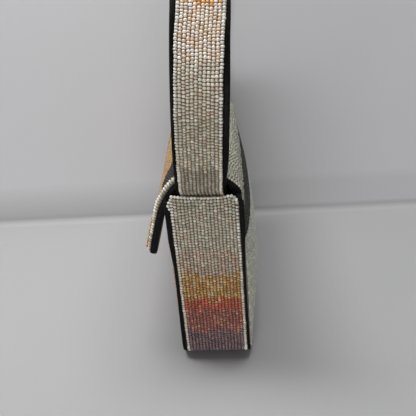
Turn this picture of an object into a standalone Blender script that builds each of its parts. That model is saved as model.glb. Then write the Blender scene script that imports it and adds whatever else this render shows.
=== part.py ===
# A small beaded handbag with a flap and a stiff top handle, as separate pieces.
# Metres, +Z up. X runs along the bag's length, the front with the flap looks to -Y.
# The origin is on the floor, in the middle of the flat base panel.

import math

import bmesh
import bpy
from mathutils import Vector

# Beads: one column of seed beads to the next, and how deep a sewn layer of them is.
BEAD_PITCH = 0.0023
BEAD_LAYER = 0.0017
GUSSET_COLUMNS = 19
STRAP_COLUMNS = 12

# On the broad panels the strands are drawn together in ribs: the columns in one, and the groove between two.
RIB_COLUMNS = 5
RIB_DEPTH = 0.0007

# The body's outside.
BAG_LENGTH = 0.200
PANEL_HEIGHT = 0.1268
PANEL_LIFT = 0.0005
CORNER_RADIUS = 0.012
FRONT_BULGE = 0.004
BACK_BULGE = 0.010
BULGE_LENGTH_POWER = 2.7
BULGE_HEIGHT_POWER = 0.7
BULGE_HEIGHT_SHARE = 0.95
# The soft body leans towards its front: its way forward for each metre up.
LEAN_SHARE = 0.05

# Layers of the walls.
BOARD_THICKNESS = 0.0012
LINING_THICKNESS = 0.0010
BAND_THICKNESS = 0.0013
BINDING_WIDTH = 0.0020
BINDING_THICKNESS = 0.0021
BASE_BOARD_THICKNESS = 0.0020

# Between neighbours, between a wall and its edge, and how far a cutter runs past what it cuts.
GAP = 0.0003
EDGE_GAP = 0.0007
OVERRUN = 0.0030

# The gusset's beaded top edge dips in the middle and climbs at the back corner.
HEM_RISE = 0.0012
HEM_BACK_RISE = 0.0060
HEM_FRONT_RISE = 0.0015
HEM_BACK_POWER = 5
HEM_BEAD_RADIUS = 0.0009
BAND_TOP_DROP = 0.0008

# The slot at each end of the bag, between the band and the lining, that takes the strap's root.
SLOT_CLEARANCE = 0.0004
SLOT_LINING_DROP = 0.0030
POCKET_LENGTH = 0.090
POCKET_HEIGHT = 0.060
POCKET_DROP = 0.030

# The flap: a shell that rises from the back's top edge, over the mouth and down the front.
FLAP_END_INSET = 0.0095
FLAP_LENGTH = 0.109
FLAP_DIP = 0.008
FLAP_CORNER_RADIUS = 0.005
FLAP_THICKNESS = 0.0046
FLAP_CORE_THICKNESS = 0.0027
FLAP_BEAD_STAND = 0.0014
FLAP_PILLOW = 0.0010
FOLD_RADIUS = 0.008
FOLD_TURN = math.radians(41)
CROWN_RADIUS = 0.0285
CROWN_TURN = math.radians(99)
SHOULDER_RADIUS = 0.060
SHOULDER_TURN = math.radians(20)
APRON_RADIUS = 0.250
FOLD_CLEARANCE = 0.0007
FLAP_REST_CLEARANCE = 0.0004

# Hidden magnets that hold the flap shut.
MAGNET_RADIUS = 0.007
FRONT_MAGNET_DROP = 0.0087
FLAP_MAGNET_INSET = 0.014
FLAP_MAGNET_THICKNESS = 0.0021

# The strap: a root in each slot, a small outward bend, then half an oval and more.
STRAP_BORDER = 0.0022
STRAP_CORE_THICKNESS = 0.0016
STRAP_LEATHER_THICKNESS = 0.0009
STRAP_BEAD_THICKNESS = 0.0016
STRAP_BEND_RADIUS = 0.012
STRAP_BEND_RISE = 0.0013
STRAP_COVER_DROP = 0.0034
STRAP_SHIFT = -0.0012
STRAP_HIP_HEIGHT = 0.050
STRAP_ARCH_HEIGHT = 0.101
STRAP_TILT = math.radians(1.4)
ANCHOR_DROP = 0.0093
TAB_BELOW_ANCHOR = 0.014
PAD_HALF_WIDTH = 0.014
RIVET_RADIUS = 0.0020
RIVET_CAP_RADIUS = 0.0045
RIVET_CAP_THICKNESS = 0.0012

# How finely the surfaces are cut.
PANEL_COLUMNS = 16
PANEL_ROWS = 10
CORNER_STEPS = 4
GUSSET_STEPS = 8
FLAP_COLUMNS = 10
FLAP_ROWS = 22
STRAP_STEPS = 44
DISC_SIDES = 24
BISECTIONS = 40

# Sizes worked out from those above.
GUSSET_WIDTH = GUSSET_COLUMNS * BEAD_PITCH
GUSSET_HALF = GUSSET_WIDTH / 2
HALF_LENGTH = BAG_LENGTH / 2
BOARD_INNER = GUSSET_HALF + GAP
BEAD_INNER = BOARD_INNER + BOARD_THICKNESS + GAP
BEAD_OUTER = BEAD_INNER + BEAD_LAYER
LINING_INNER = GUSSET_HALF - GAP - LINING_THICKNESS
PANEL_TOP = PANEL_LIFT + PANEL_HEIGHT
HEM_HEIGHT = PANEL_TOP + HEM_RISE
ANCHOR_HEIGHT = PANEL_TOP - ANCHOR_DROP
BAND_OUTSET = BEAD_LAYER + GAP
BAND_INNER = BAND_OUTSET + BAND_THICKNESS
FLAP_START = BOARD_INNER + BINDING_THICKNESS
FLAP_WIDTH = BAG_LENGTH - 2 * FLAP_END_INSET
FLAP_MAGNET_LENGTH = FLAP_LENGTH - FLAP_MAGNET_INSET
HINGE_HEIGHT = PANEL_TOP + FOLD_CLEARANCE / 2
HINGE_DEPTH = max(BEAD_OUTER, FLAP_START + FLAP_BEAD_STAND)
STRAP_BEADS_WIDTH = STRAP_COLUMNS * BEAD_PITCH
STRAP_HALF = STRAP_BEADS_WIDTH / 2 + STRAP_BORDER
STRAP_INNER_HALF = STRAP_CORE_THICKNESS / 2 + GAP + STRAP_LEATHER_THICKNESS
STRAP_OUTER_HALF = STRAP_INNER_HALF + GAP + STRAP_BEAD_THICKNESS
SLOT_DEPTH = SLOT_CLEARANCE + STRAP_OUTER_HALF + STRAP_INNER_HALF + GAP
STRAP_ROOT_INSET = BAND_INNER + SLOT_CLEARANCE + STRAP_OUTER_HALF
STRAP_BEND_HEIGHT = PANEL_TOP + STRAP_BEND_RISE
GUSSET_LINING_OUTSET = BAND_INNER + SLOT_DEPTH


def material(name, colour, roughness, metallic=0.0):
    """A plain shader in the piece's own colour."""
    made = bpy.data.materials.new(name)
    made.use_nodes = True
    shader = made.node_tree.nodes["Principled BSDF"]
    shader.inputs["Base Color"].default_value = (*colour, 1.0)
    shader.inputs["Roughness"].default_value = roughness
    shader.inputs["Metallic"].default_value = metallic
    return made


def lean(point):
    """The body's upright shape sheared forward, so that its base stays flat on the floor."""
    x, y, z = point
    return Vector((x, y - LEAN_SHARE * z, z))


def upright(point):
    """The strap isn't sheared with the body: it turns as one piece about its anchors."""
    return Vector(point)


def finish_object(obj, stuff, pivot):
    """Gives the object its material and hangs it from its pivot, which is its origin too."""
    obj.data.materials.append(stuff)
    bpy.context.collection.objects.link(obj)
    if pivot is not None:
        obj.parent = pivot
    obj.data.shade_smooth()
    obj.data.set_sharp_from_angle(angle=math.radians(35))
    return obj


def sheet(name, across, along, place, thickness, stuff, pivot=None, bend=lean, flip=False, relief=None):
    """A grid of place(a, b) over the two lists, thickened outwards along its normals.
    relief(a, b) is the share of the thickness at a place, where the outer face isn't even."""
    start = pivot.location if pivot is not None else Vector((0, 0, 0))
    shape = bmesh.new()
    rows = [[shape.verts.new(bend(place(a, b)) - start) for b in along] for a in across]
    for first, second in zip(rows, rows[1:]):
        for j in range(len(along) - 1):
            corners = [first[j], second[j], second[j + 1], first[j + 1]]
            shape.faces.new(corners[::-1] if flip else corners)
    shape.normal_update()
    mesh = bpy.data.meshes.new(name)
    shape.to_mesh(mesh)
    shape.free()
    obj = finish_object(bpy.data.objects.new(name, mesh), stuff, pivot)
    wall = obj.modifiers.new("wall", "SOLIDIFY")
    wall.thickness = thickness
    wall.offset = 1.0
    wall.use_even_offset = True
    if relief is not None:
        heights = obj.vertex_groups.new(name="relief")
        for i, (a, b) in enumerate((a, b) for a in across for b in along):
            heights.add([i], relief(a, b), "REPLACE")
        wall.vertex_group = heights.name
    return obj


def disc(name, centre, normal, radius, length, stuff, pivot=None, bend=lean):
    """A round disc from its inner face at centre, outwards along the normal."""
    start = pivot.location if pivot is not None else Vector((0, 0, 0))
    shape = bmesh.new()
    bmesh.ops.create_cone(
        shape, cap_ends=True, segments=DISC_SIDES, radius1=radius, radius2=radius, depth=length
    )
    turn = Vector((0, 0, 1)).rotation_difference(Vector(normal)).to_matrix().to_4x4()
    middle = bend(centre) + Vector(normal).normalized() * length / 2 - start
    bmesh.ops.transform(shape, matrix=turn, verts=shape.verts)
    bmesh.ops.translate(shape, vec=middle, verts=shape.verts)
    mesh = bpy.data.meshes.new(name)
    shape.to_mesh(mesh)
    shape.free()
    return finish_object(bpy.data.objects.new(name, mesh), stuff, pivot)


def bore(target, cutter_name, centre, normal, radius, depth, stuff, pivot=None):
    """Cuts a round hole through the target, which reaches depth to each side of the centre at most."""
    reach = depth + OVERRUN
    start = Vector(centre) - Vector(normal).normalized() * reach
    cutter = disc(cutter_name, start, normal, radius, reach * 2, stuff, pivot)
    cutter.hide_render = True
    cutter.display_type = "WIRE"
    cut = target.modifiers.new(cutter_name, "BOOLEAN")
    cut.operation = "DIFFERENCE"
    cut.object = cutter


def steps(first, last, count):
    return [first + (last - first) * i / count for i in range(count + 1)]


def bulge(x, z, top, amount):
    """How far a stuffed panel swells at a place: nothing at its edges, most in its middle."""
    along = min(abs(x) / HALF_LENGTH, 1.0)
    up = min(max(z / (BULGE_HEIGHT_SHARE * top), 0.0), 1.0)
    return amount * (1 - along**BULGE_LENGTH_POWER) * math.sin(math.pi * up) ** BULGE_HEIGHT_POWER


def groove_count(half):
    """How many grooves part the strands of a beaded panel into ribs, with a half rib at each end."""
    return round(2 * half / (RIB_COLUMNS * BEAD_PITCH))


def rib_height(share, grooves, thickness):
    """The share of a beaded layer's thickness at a place across it: all on a rib, less in a groove."""
    in_groove = round((share + 1) * grooves) % 2
    return 1 - in_groove * RIB_DEPTH / thickness


def hanging_rows(length, corner, rows):
    """Distances down a panel: even ones, then closer ones round its bottom corners."""
    straight = steps(0, length - corner, rows)
    turns = [i * math.pi / 2 / CORNER_STEPS for i in range(1, CORNER_STEPS + 1)]
    return straight + [length - corner + corner * math.sin(t) for t in turns]


def hanging_place(share, down, half, length, corner, dip=0.0):
    """A panel with round bottom corners and a dip in its lower edge, as width and distance down."""
    over = max(down - (length - corner), 0.0)
    width = half - corner + math.sqrt(max(corner**2 - over**2, 0.0))
    return share * width, down + dip * (down / length) ** 2 * (1 - share**2)


def hanging_edge(half, length, corner, rows, dip=0.0):
    """The panel's outline from its right top corner, round its bottom, to its left top corner."""
    right = [(half, d) for d in steps(0, length - corner, rows)]
    turns = [i * math.pi / 2 / CORNER_STEPS for i in range(1, CORNER_STEPS + 1)]
    centre = (half - corner, length - corner)
    right += [(centre[0] + corner * math.cos(t), centre[1] + corner * math.sin(t)) for t in turns]
    bottom = [(centre[0] * s, length + dip * (1 - s**2)) for s in steps(1, -1, PANEL_COLUMNS)]
    left = [(-x, d) for x, d in reversed(right)]
    return right[:-1] + bottom + left[1:]


def panel(name, side, top, inner, thickness, inset, amount, stuff, ribbed=False):
    """One layer of the front (side -1) or back (side 1) wall, swelling by amount, with ribs on beadwork."""
    half, length = HALF_LENGTH - inset, top - PANEL_LIFT - inset
    corner = CORNER_RADIUS - inset
    grooves = groove_count(half)

    def place(share, down):
        x, d = hanging_place(share, down, half, length, corner)
        z = top - d
        return x, side * (inner + bulge(x, z, top, amount)), z

    def relief(share, _):
        return rib_height(share, grooves, thickness)

    shares = steps(-1, 1, 2 * grooves if ribbed else PANEL_COLUMNS)
    rows = hanging_rows(length, corner, PANEL_ROWS)
    uneven = relief if ribbed else None
    return sheet(name, shares, rows, place, thickness, stuff, flip=side < 0, relief=uneven)


def panel_binding(name, side, stuff):
    """The narrow leather edge that runs down one end, along the bottom and up the other end."""
    outer = hanging_edge(HALF_LENGTH, PANEL_HEIGHT, CORNER_RADIUS, PANEL_ROWS)
    inner = hanging_edge(
        HALF_LENGTH - BINDING_WIDTH,
        PANEL_HEIGHT - BINDING_WIDTH,
        CORNER_RADIUS - BINDING_WIDTH,
        PANEL_ROWS,
    )

    def place(k, across):
        x, d = outer[k] if across == 0 else inner[k]
        return x, side * BOARD_INNER, PANEL_TOP - d

    return sheet(name, range(len(outer)), (0, 1), place, BINDING_THICKNESS, stuff, flip=side < 0)


def front_top():
    """The front wall stops where the flap's inner face passes outside its beadwork, and lies on it."""
    high, low = 0.0, FLAP_LENGTH
    for _ in range(BISECTIONS):
        down = (high + low) / 2
        y, z, normal = flap_line(down)
        z -= normal[1] * FLAP_THICKNESS
        if y - normal[0] * FLAP_THICKNESS > -BEAD_OUTER - FLAP_REST_CLEARANCE:
            high = down
        else:
            low = down
    return z - BINDING_WIDTH - GAP


def walls(side, word, top, amount, stuffs):
    """The board, its beadwork, its edge and its lining for one long side of the bag."""
    inset = BINDING_WIDTH + EDGE_GAP
    board = panel(f"{word}_board", side, top, BOARD_INNER, BOARD_THICKNESS, inset, amount, stuffs["board"])
    panel(f"{word}_beading", side, top, BEAD_INNER, BEAD_LAYER, inset, amount, stuffs[word], ribbed=True)
    panel_binding(f"{word}_edge_binding", side, stuffs["leather"])
    deep = BAND_INNER + GAP
    panel(f"{word}_lining", side, top, LINING_INNER, LINING_THICKNESS, deep, amount, stuffs["lining"])
    return board


def band_line(outset, drop, top):
    """The U of the gusset: down the left end, under the bag and up the right end, drawn in by outset."""
    radius = max(CORNER_RADIUS - outset, BEAD_LAYER)
    half = HALF_LENGTH - outset
    turns = [i * math.pi / 2 / CORNER_STEPS for i in range(CORNER_STEPS + 1)]
    corner = [(half - radius + radius * math.sin(t), drop + radius - radius * math.cos(t)) for t in turns]
    right = corner + [(half, z) for z in steps(drop + radius, top, GUSSET_STEPS)[1:]]
    return [(-x, z) for x, z in reversed(right)] + right


def band(name, outset, drop, top, half_width, thickness, stuff):
    line = band_line(outset, drop, top)

    def place(k, y):
        return line[k][0], y, line[k][1]

    return sheet(name, range(len(line)), (half_width, -half_width), place, thickness, stuff)


def hem_height(y):
    """The gusset's top edge: low in the middle, higher at both panels, most at the back."""
    share = y / GUSSET_HALF
    if share > 0:
        return HEM_HEIGHT + HEM_BACK_RISE * share**HEM_BACK_POWER
    return HEM_HEIGHT + HEM_FRONT_RISE * share**2


def gusset_beading(name, side, stuff):
    """The beadwork of one end, from the base panel's end round the corner and up to the hem."""
    radius = CORNER_RADIUS - BEAD_LAYER
    half = HALF_LENGTH - BEAD_LAYER
    turns = [i * math.pi / 2 / CORNER_STEPS for i in range(CORNER_STEPS + 1)]

    def place(k, y):
        if k < len(turns):
            x = half - radius + radius * math.sin(turns[k])
            return side * x, y, BEAD_LAYER + radius - radius * math.cos(turns[k])
        low = BEAD_LAYER + radius
        share = (k - len(turns) + 1) / GUSSET_STEPS
        return side * half, y, low + (hem_height(y) - low) * share

    rows = range(len(turns) + GUSSET_STEPS)
    columns = steps(-GUSSET_HALF, GUSSET_HALF, GUSSET_STEPS)
    return sheet(name, rows, columns, place, BEAD_LAYER, stuff, flip=side > 0)


def gusset_hem(name, side, stuff):
    """One row of beads laid across the top of the gusset, as a thin roll."""
    line = bpy.data.curves.new(name, "CURVE")
    line.dimensions = "3D"
    line.bevel_depth = HEM_BEAD_RADIUS
    line.bevel_resolution = 2
    line.use_fill_caps = True
    spline = line.splines.new("POLY")
    places = steps(-GUSSET_HALF, GUSSET_HALF, GUSSET_STEPS)
    spline.points.add(len(places) - 1)
    x = side * (HALF_LENGTH - BEAD_LAYER / 2)
    for point, y in zip(spline.points, places):
        z = hem_height(y) + HEM_BEAD_RADIUS + GAP * 2
        point.co = (*lean((x, y, z)), 1.0)
    line.materials.append(stuff)
    obj = bpy.data.objects.new(name, line)
    bpy.context.collection.objects.link(obj)
    return obj


def base(stuffs):
    """The leather panel that the bag stands on, and the stiff board above the band."""
    half = HALF_LENGTH - CORNER_RADIUS - GAP
    width = GUSSET_HALF

    def outside(x, y):
        return x, y, 0.0

    sheet("base_panel", (-half, half), (-width, width), outside, BEAD_LAYER, stuffs["leather"])

    level = BAND_INNER + GAP
    board_half = HALF_LENGTH - CORNER_RADIUS - level
    board_width = LINING_INNER - GAP

    def inside(x, y):
        return x, y, level

    sheet(
        "base_board",
        (-board_half, board_half),
        (-board_width, board_width),
        inside,
        BASE_BOARD_THICKNESS,
        stuffs["board"],
    )


def mouth_binding(top, stuff):
    """The leather that closes the front wall's top edge, over its lining and its board."""
    half = HALF_LENGTH - BAND_INNER - GAP
    low = top + GAP

    def place(x, y):
        return x, y, low

    ends = (-half, half)
    return sheet("mouth_binding", ends, (-BEAD_OUTER, -LINING_INNER), place, BINDING_WIDTH, stuff)


def fold_tape(stuff):
    """The cloth tape behind the flap's fold, on the inner face of the back lining."""
    half = FLAP_WIDTH / 2 - BINDING_WIDTH
    inner = LINING_INNER - GAP - LINING_THICKNESS

    def place(x, z):
        return x, inner + bulge(x, z, PANEL_TOP, BACK_BULGE), z

    low = PANEL_TOP - POCKET_DROP / 2
    heights = steps(low, PANEL_TOP, 3)
    return sheet(
        "fold_tape", steps(-half, half, PANEL_COLUMNS), heights, place, LINING_THICKNESS, stuff, flip=True
    )


def slip_pocket(stuff):
    """A flat pocket sewn to the back lining on three sides."""
    inner = LINING_INNER - GAP - LINING_THICKNESS
    high = PANEL_TOP - POCKET_DROP

    def place(x, z):
        return x, inner + bulge(x, z, PANEL_TOP, BACK_BULGE), z

    widths = steps(-POCKET_LENGTH / 2, POCKET_LENGTH / 2, PANEL_COLUMNS // 2)
    heights = steps(high - POCKET_HEIGHT, high, PANEL_ROWS // 2)
    return sheet("slip_pocket", widths, heights, place, LINING_THICKNESS, stuff, flip=True)


def flap_line(down):
    """The flap's outer line seen from the end: a tight fold, a crown, a wide shoulder and a flat apron."""
    y, z = FLAP_START - FOLD_RADIUS, HINGE_HEIGHT
    radius, turn, start = FOLD_RADIUS, FOLD_TURN, 0.0
    arcs = ((CROWN_RADIUS, CROWN_TURN), (SHOULDER_RADIUS, SHOULDER_TURN), (APRON_RADIUS, math.pi))
    for wider, more in arcs:
        if down <= radius * (turn - start):
            break
        down -= radius * (turn - start)
        y += (radius - wider) * math.cos(turn)
        z += (radius - wider) * math.sin(turn)
        radius, turn, start = wider, turn + more, turn
    angle = start + down / radius
    normal = (math.cos(angle), math.sin(angle))
    return y + radius * normal[0], z + radius * normal[1], normal


def flap_point(x, down, level):
    """A place on the flap: x along the bag, distance down from the fold, and level above its surface."""
    y, z, normal = flap_line(down + FOLD_CLEARANCE / 2)
    share = min(abs(x) / (FLAP_WIDTH / 2), 1.0)
    rise = level + FLAP_PILLOW * (1 - share**2) * math.sin(math.pi * min(down / FLAP_LENGTH, 1.0)) ** 2
    return x, y + normal[0] * rise, z + normal[1] * rise


def flap_layer(name, level, thickness, inset, stuff, pivot, ribbed=False):
    """One layer of the flap, with ribs on its beadwork."""
    half, length = FLAP_WIDTH / 2 - inset, FLAP_LENGTH - inset
    corner = FLAP_CORNER_RADIUS - inset
    grooves = groove_count(half)

    def place(down, share):
        x, d = hanging_place(share, down, half, length, corner, FLAP_DIP)
        return flap_point(x, d, level)

    def relief(_, share):
        return rib_height(share, grooves, thickness)

    rows = hanging_rows(length, corner, FLAP_ROWS)
    shares = steps(-1, 1, 2 * grooves if ribbed else FLAP_COLUMNS)
    uneven = relief if ribbed else None
    return sheet(name, rows, shares, place, thickness, stuff, pivot, relief=uneven)


def flap_binding(name, stuff, pivot):
    """The thick black edge of the flap on its two ends and its lower edge."""
    inset = BINDING_WIDTH
    outer = hanging_edge(FLAP_WIDTH / 2, FLAP_LENGTH, FLAP_CORNER_RADIUS, FLAP_ROWS, FLAP_DIP)
    inner = hanging_edge(
        FLAP_WIDTH / 2 - inset, FLAP_LENGTH - inset, FLAP_CORNER_RADIUS - inset, FLAP_ROWS, FLAP_DIP
    )

    def place(k, across):
        x, d = outer[k] if across == 0 else inner[k]
        return flap_point(x, d, -FLAP_THICKNESS)

    return sheet(name, range(len(outer)), (0, 1), place, FLAP_THICKNESS, stuff, pivot, flip=True)


def flap(stuffs):
    """The flap's layers, all hung on the fold line at the back wall's top."""
    pivot = bpy.data.objects.new("flap_pivot", None)
    pivot.location = lean((0, HINGE_DEPTH, HINGE_HEIGHT))
    bpy.context.collection.objects.link(pivot)
    inset = BINDING_WIDTH + GAP
    core_level = -GAP * 2 - FLAP_CORE_THICKNESS
    bead_thickness = FLAP_BEAD_STAND + GAP
    core = flap_layer("flap_core", core_level, FLAP_CORE_THICKNESS, inset, stuffs["board"], pivot)
    flap_layer("flap_beading", -GAP, bead_thickness, inset, stuffs["front"], pivot, ribbed=True)
    lining_level = -FLAP_THICKNESS
    lining_thickness = FLAP_THICKNESS + core_level - GAP
    flap_layer("flap_lining", lining_level, lining_thickness, inset, stuffs["suede"], pivot)
    flap_binding("flap_edge_binding", stuffs["leather"], pivot)

    normal = flap_line(FLAP_MAGNET_LENGTH + FOLD_CLEARANCE / 2)[2]
    sheared = Vector((0, normal[0], normal[1] + LEAN_SHARE * normal[0])).normalized()
    middle = flap_point(0, FLAP_MAGNET_LENGTH, core_level + GAP)
    disc(
        "flap_magnet", middle, sheared, MAGNET_RADIUS, FLAP_MAGNET_THICKNESS, stuffs["steel"], pivot
    )
    through = flap_point(0, FLAP_MAGNET_LENGTH, core_level + FLAP_CORE_THICKNESS / 2)
    bore(
        core,
        "flap_magnet_hole",
        through,
        sheared,
        MAGNET_RADIUS + GAP,
        FLAP_CORE_THICKNESS,
        stuffs["steel"],
        pivot,
    )
    return pivot


def strap_bend():
    """The angle at which the root's bend meets the oval, so that the two join without a corner."""
    root = HALF_LENGTH - STRAP_ROOT_INSET
    angle = 0.0
    for _ in range(BISECTIONS):
        reach = root + STRAP_BEND_RADIUS * (1 - math.cos(angle))
        angle = math.atan2(reach * STRAP_HIP_HEIGHT, STRAP_ARCH_HEIGHT**2 - STRAP_HIP_HEIGHT**2)
    return angle, reach


def strap_line():
    """Points and outward directions of the strap's middle layer, left root to right root."""
    angle, reach = strap_bend()
    root = HALF_LENGTH - STRAP_ROOT_INSET
    tab_low = ANCHOR_HEIGHT - TAB_BELOW_ANCHOR
    bend_low = STRAP_BEND_HEIGHT
    joint = bend_low + STRAP_BEND_RADIUS * math.sin(angle)
    centre = joint + STRAP_HIP_HEIGHT
    width = reach / math.sqrt(1 - (STRAP_HIP_HEIGHT / STRAP_ARCH_HEIGHT) ** 2)
    right = [(root, z, 1.0, 0.0) for z in (tab_low, bend_low - STRAP_COVER_DROP, bend_low)]
    for turn in steps(0, angle, 4)[1:]:
        x = root + STRAP_BEND_RADIUS * (1 - math.cos(turn))
        z = bend_low + STRAP_BEND_RADIUS * math.sin(turn)
        right.append((x, z, math.cos(turn), -math.sin(turn)))
    first = -math.asin(STRAP_HIP_HEIGHT / STRAP_ARCH_HEIGHT)
    for turn in steps(first, math.pi / 2, STRAP_STEPS // 2)[1:]:
        x, z = width * math.cos(turn), STRAP_ARCH_HEIGHT * math.sin(turn)
        nx, nz = x / width**2, z / STRAP_ARCH_HEIGHT**2
        size = math.hypot(nx, nz)
        right.append((x, centre + z, nx / size, nz / size))
    left = [(-x, z, -nx, nz) for x, z, nx, nz in right[:-1]]
    return left + right[::-1]


def strap_strip(name, low, level, thickness, inner, outer, stuff, pivot):
    """One layer of the strap above the height low, between two distances across its width."""
    line = [p for p in strap_line() if p[1] > low - GAP]

    def place(k, y):
        x, z, nx, nz = line[k]
        return x + nx * level, y + pivot.location.y, z + nz * level

    return sheet(name, range(len(line)), (inner, outer), place, thickness, stuff, pivot, upright)


def strap(stuffs):
    """The strap's layers, turned a little back about the line through its two anchors."""
    pivot = bpy.data.objects.new("strap_pivot", None)
    pivot.location = lean((0, STRAP_SHIFT, ANCHOR_HEIGHT))
    pivot.rotation_euler = (-STRAP_TILT, 0, 0)
    bpy.context.collection.objects.link(pivot)
    cover_low = STRAP_BEND_HEIGHT - STRAP_COVER_DROP
    half_core = STRAP_CORE_THICKNESS / 2
    beads = STRAP_BEADS_WIDTH / 2
    leather = STRAP_LEATHER_THICKNESS
    facing_level = half_core + GAP
    bead_level = facing_level + leather + GAP
    lining_level = -half_core - GAP - leather
    whole = facing_level + leather - lining_level

    core = strap_strip(
        "strap_core", 0, -half_core, STRAP_CORE_THICKNESS, -beads + GAP, beads - GAP, stuffs["board"], pivot
    )
    inside = beads - GAP
    hide = stuffs["leather"]
    strap_strip("strap_facing", cover_low, facing_level, leather, -inside, inside, hide, pivot)
    strap_strip("strap_lining", cover_low, lining_level, leather, -inside, inside, stuffs["suede"], pivot)
    strap_strip("strap_edge_back", cover_low, lining_level, whole, beads, STRAP_HALF, hide, pivot)
    strap_strip("strap_edge_front", cover_low, lining_level, whole, -STRAP_HALF, -beads, hide, pivot)
    strap_strip(
        "strap_beading", cover_low, bead_level, STRAP_BEAD_THICKNESS, -beads, beads, stuffs["strap"], pivot
    )
    return core, pivot


def anchors(core, strap_pivot, gusset_lining, stuffs):
    """In each slot a pad behind the strap's root, and a rivet through the lining, the root and the pad."""
    root = HALF_LENGTH - STRAP_ROOT_INSET
    pad_inner = root + STRAP_CORE_THICKNESS / 2 + GAP
    pad_thickness = HALF_LENGTH - BAND_INNER - GAP - pad_inner
    low, high = ANCHOR_HEIGHT - TAB_BELOW_ANCHOR, ANCHOR_HEIGHT + RIVET_CAP_RADIUS
    cap_inner = HALF_LENGTH - GUSSET_LINING_OUTSET - LINING_THICKNESS - GAP
    shank = HALF_LENGTH - BAND_INNER - GAP - cap_inner
    for side, word in ((1, "right"), (-1, "left")):

        def place(y, z):
            return side * pad_inner, STRAP_SHIFT + y, z

        pad = sheet(
            f"anchor_pad_{word}",
            (-PAD_HALF_WIDTH, PAD_HALF_WIDTH),
            (low, high),
            place,
            pad_thickness,
            stuffs["leather"],
            flip=side < 0,
        )
        outward = (side, 0, 0)
        centre = (side * root, STRAP_SHIFT, ANCHOR_HEIGHT)
        hole = RIVET_RADIUS + GAP
        bore(pad, f"pad_hole_{word}", centre, outward, hole, SLOT_DEPTH, stuffs["steel"])
        bore(gusset_lining, f"lining_hole_{word}", centre, outward, hole, SLOT_DEPTH, stuffs["steel"])
        bore(core, f"root_hole_{word}", centre, outward, hole, SLOT_DEPTH, stuffs["steel"], strap_pivot)
        rivet(f"anchor_rivet_{word}", side, cap_inner, shank, stuffs["brass"])


def rivet(name, side, start, shank, stuff):
    """A turned cap and shank in one, its cap on the inside of the bag."""
    profile = (
        (-RIVET_CAP_THICKNESS, 0.0),
        (-RIVET_CAP_THICKNESS, RIVET_CAP_RADIUS - RIVET_CAP_THICKNESS / 2),
        (-RIVET_CAP_THICKNESS / 2, RIVET_CAP_RADIUS),
        (0.0, RIVET_CAP_RADIUS),
        (0.0, RIVET_RADIUS),
        (shank, RIVET_RADIUS),
        (shank, 0.0),
    )
    shape = bmesh.new()
    points = [shape.verts.new((along, radius, 0)) for along, radius in profile]
    edges = [shape.edges.new(pair) for pair in zip(points, points[1:])]
    bmesh.ops.spin(
        shape,
        geom=points + edges,
        cent=(0, 0, 0),
        axis=(1, 0, 0),
        steps=DISC_SIDES,
        angle=math.tau,
        use_merge=True,
    )
    bmesh.ops.remove_doubles(shape, verts=shape.verts, dist=GAP / 100)
    for vert in shape.verts:
        vert.co.x = side * (start + vert.co.x)
    bmesh.ops.recalc_face_normals(shape, faces=shape.faces)
    mesh = bpy.data.meshes.new(name)
    shape.to_mesh(mesh)
    shape.free()
    obj = finish_object(bpy.data.objects.new(name, mesh), stuff, None)
    middle = lean((0, STRAP_SHIFT, ANCHOR_HEIGHT))
    obj.location = (0, middle.y, middle.z)
    return obj


def front_magnet(top, board, stuffs):
    """A flat magnet let into the front board, under the beadwork."""
    z = top - FRONT_MAGNET_DROP
    y = -BOARD_INNER - GAP - bulge(0, z, top, FRONT_BULGE)
    above = bulge(0, z + MAGNET_RADIUS, top, FRONT_BULGE)
    below = bulge(0, z - MAGNET_RADIUS, top, FRONT_BULGE)
    slope = (above - below) / (2 * MAGNET_RADIUS)
    outward = Vector((0, -1, -slope - LEAN_SHARE)).normalized()
    disc("front_magnet", (0, y, z), outward, MAGNET_RADIUS, BOARD_THICKNESS - GAP, stuffs["steel"])
    middle = (0, y - BOARD_THICKNESS / 2, z)
    bore(
        board,
        "front_magnet_hole",
        middle,
        outward,
        MAGNET_RADIUS + GAP,
        BOARD_THICKNESS,
        stuffs["steel"],
    )


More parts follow.
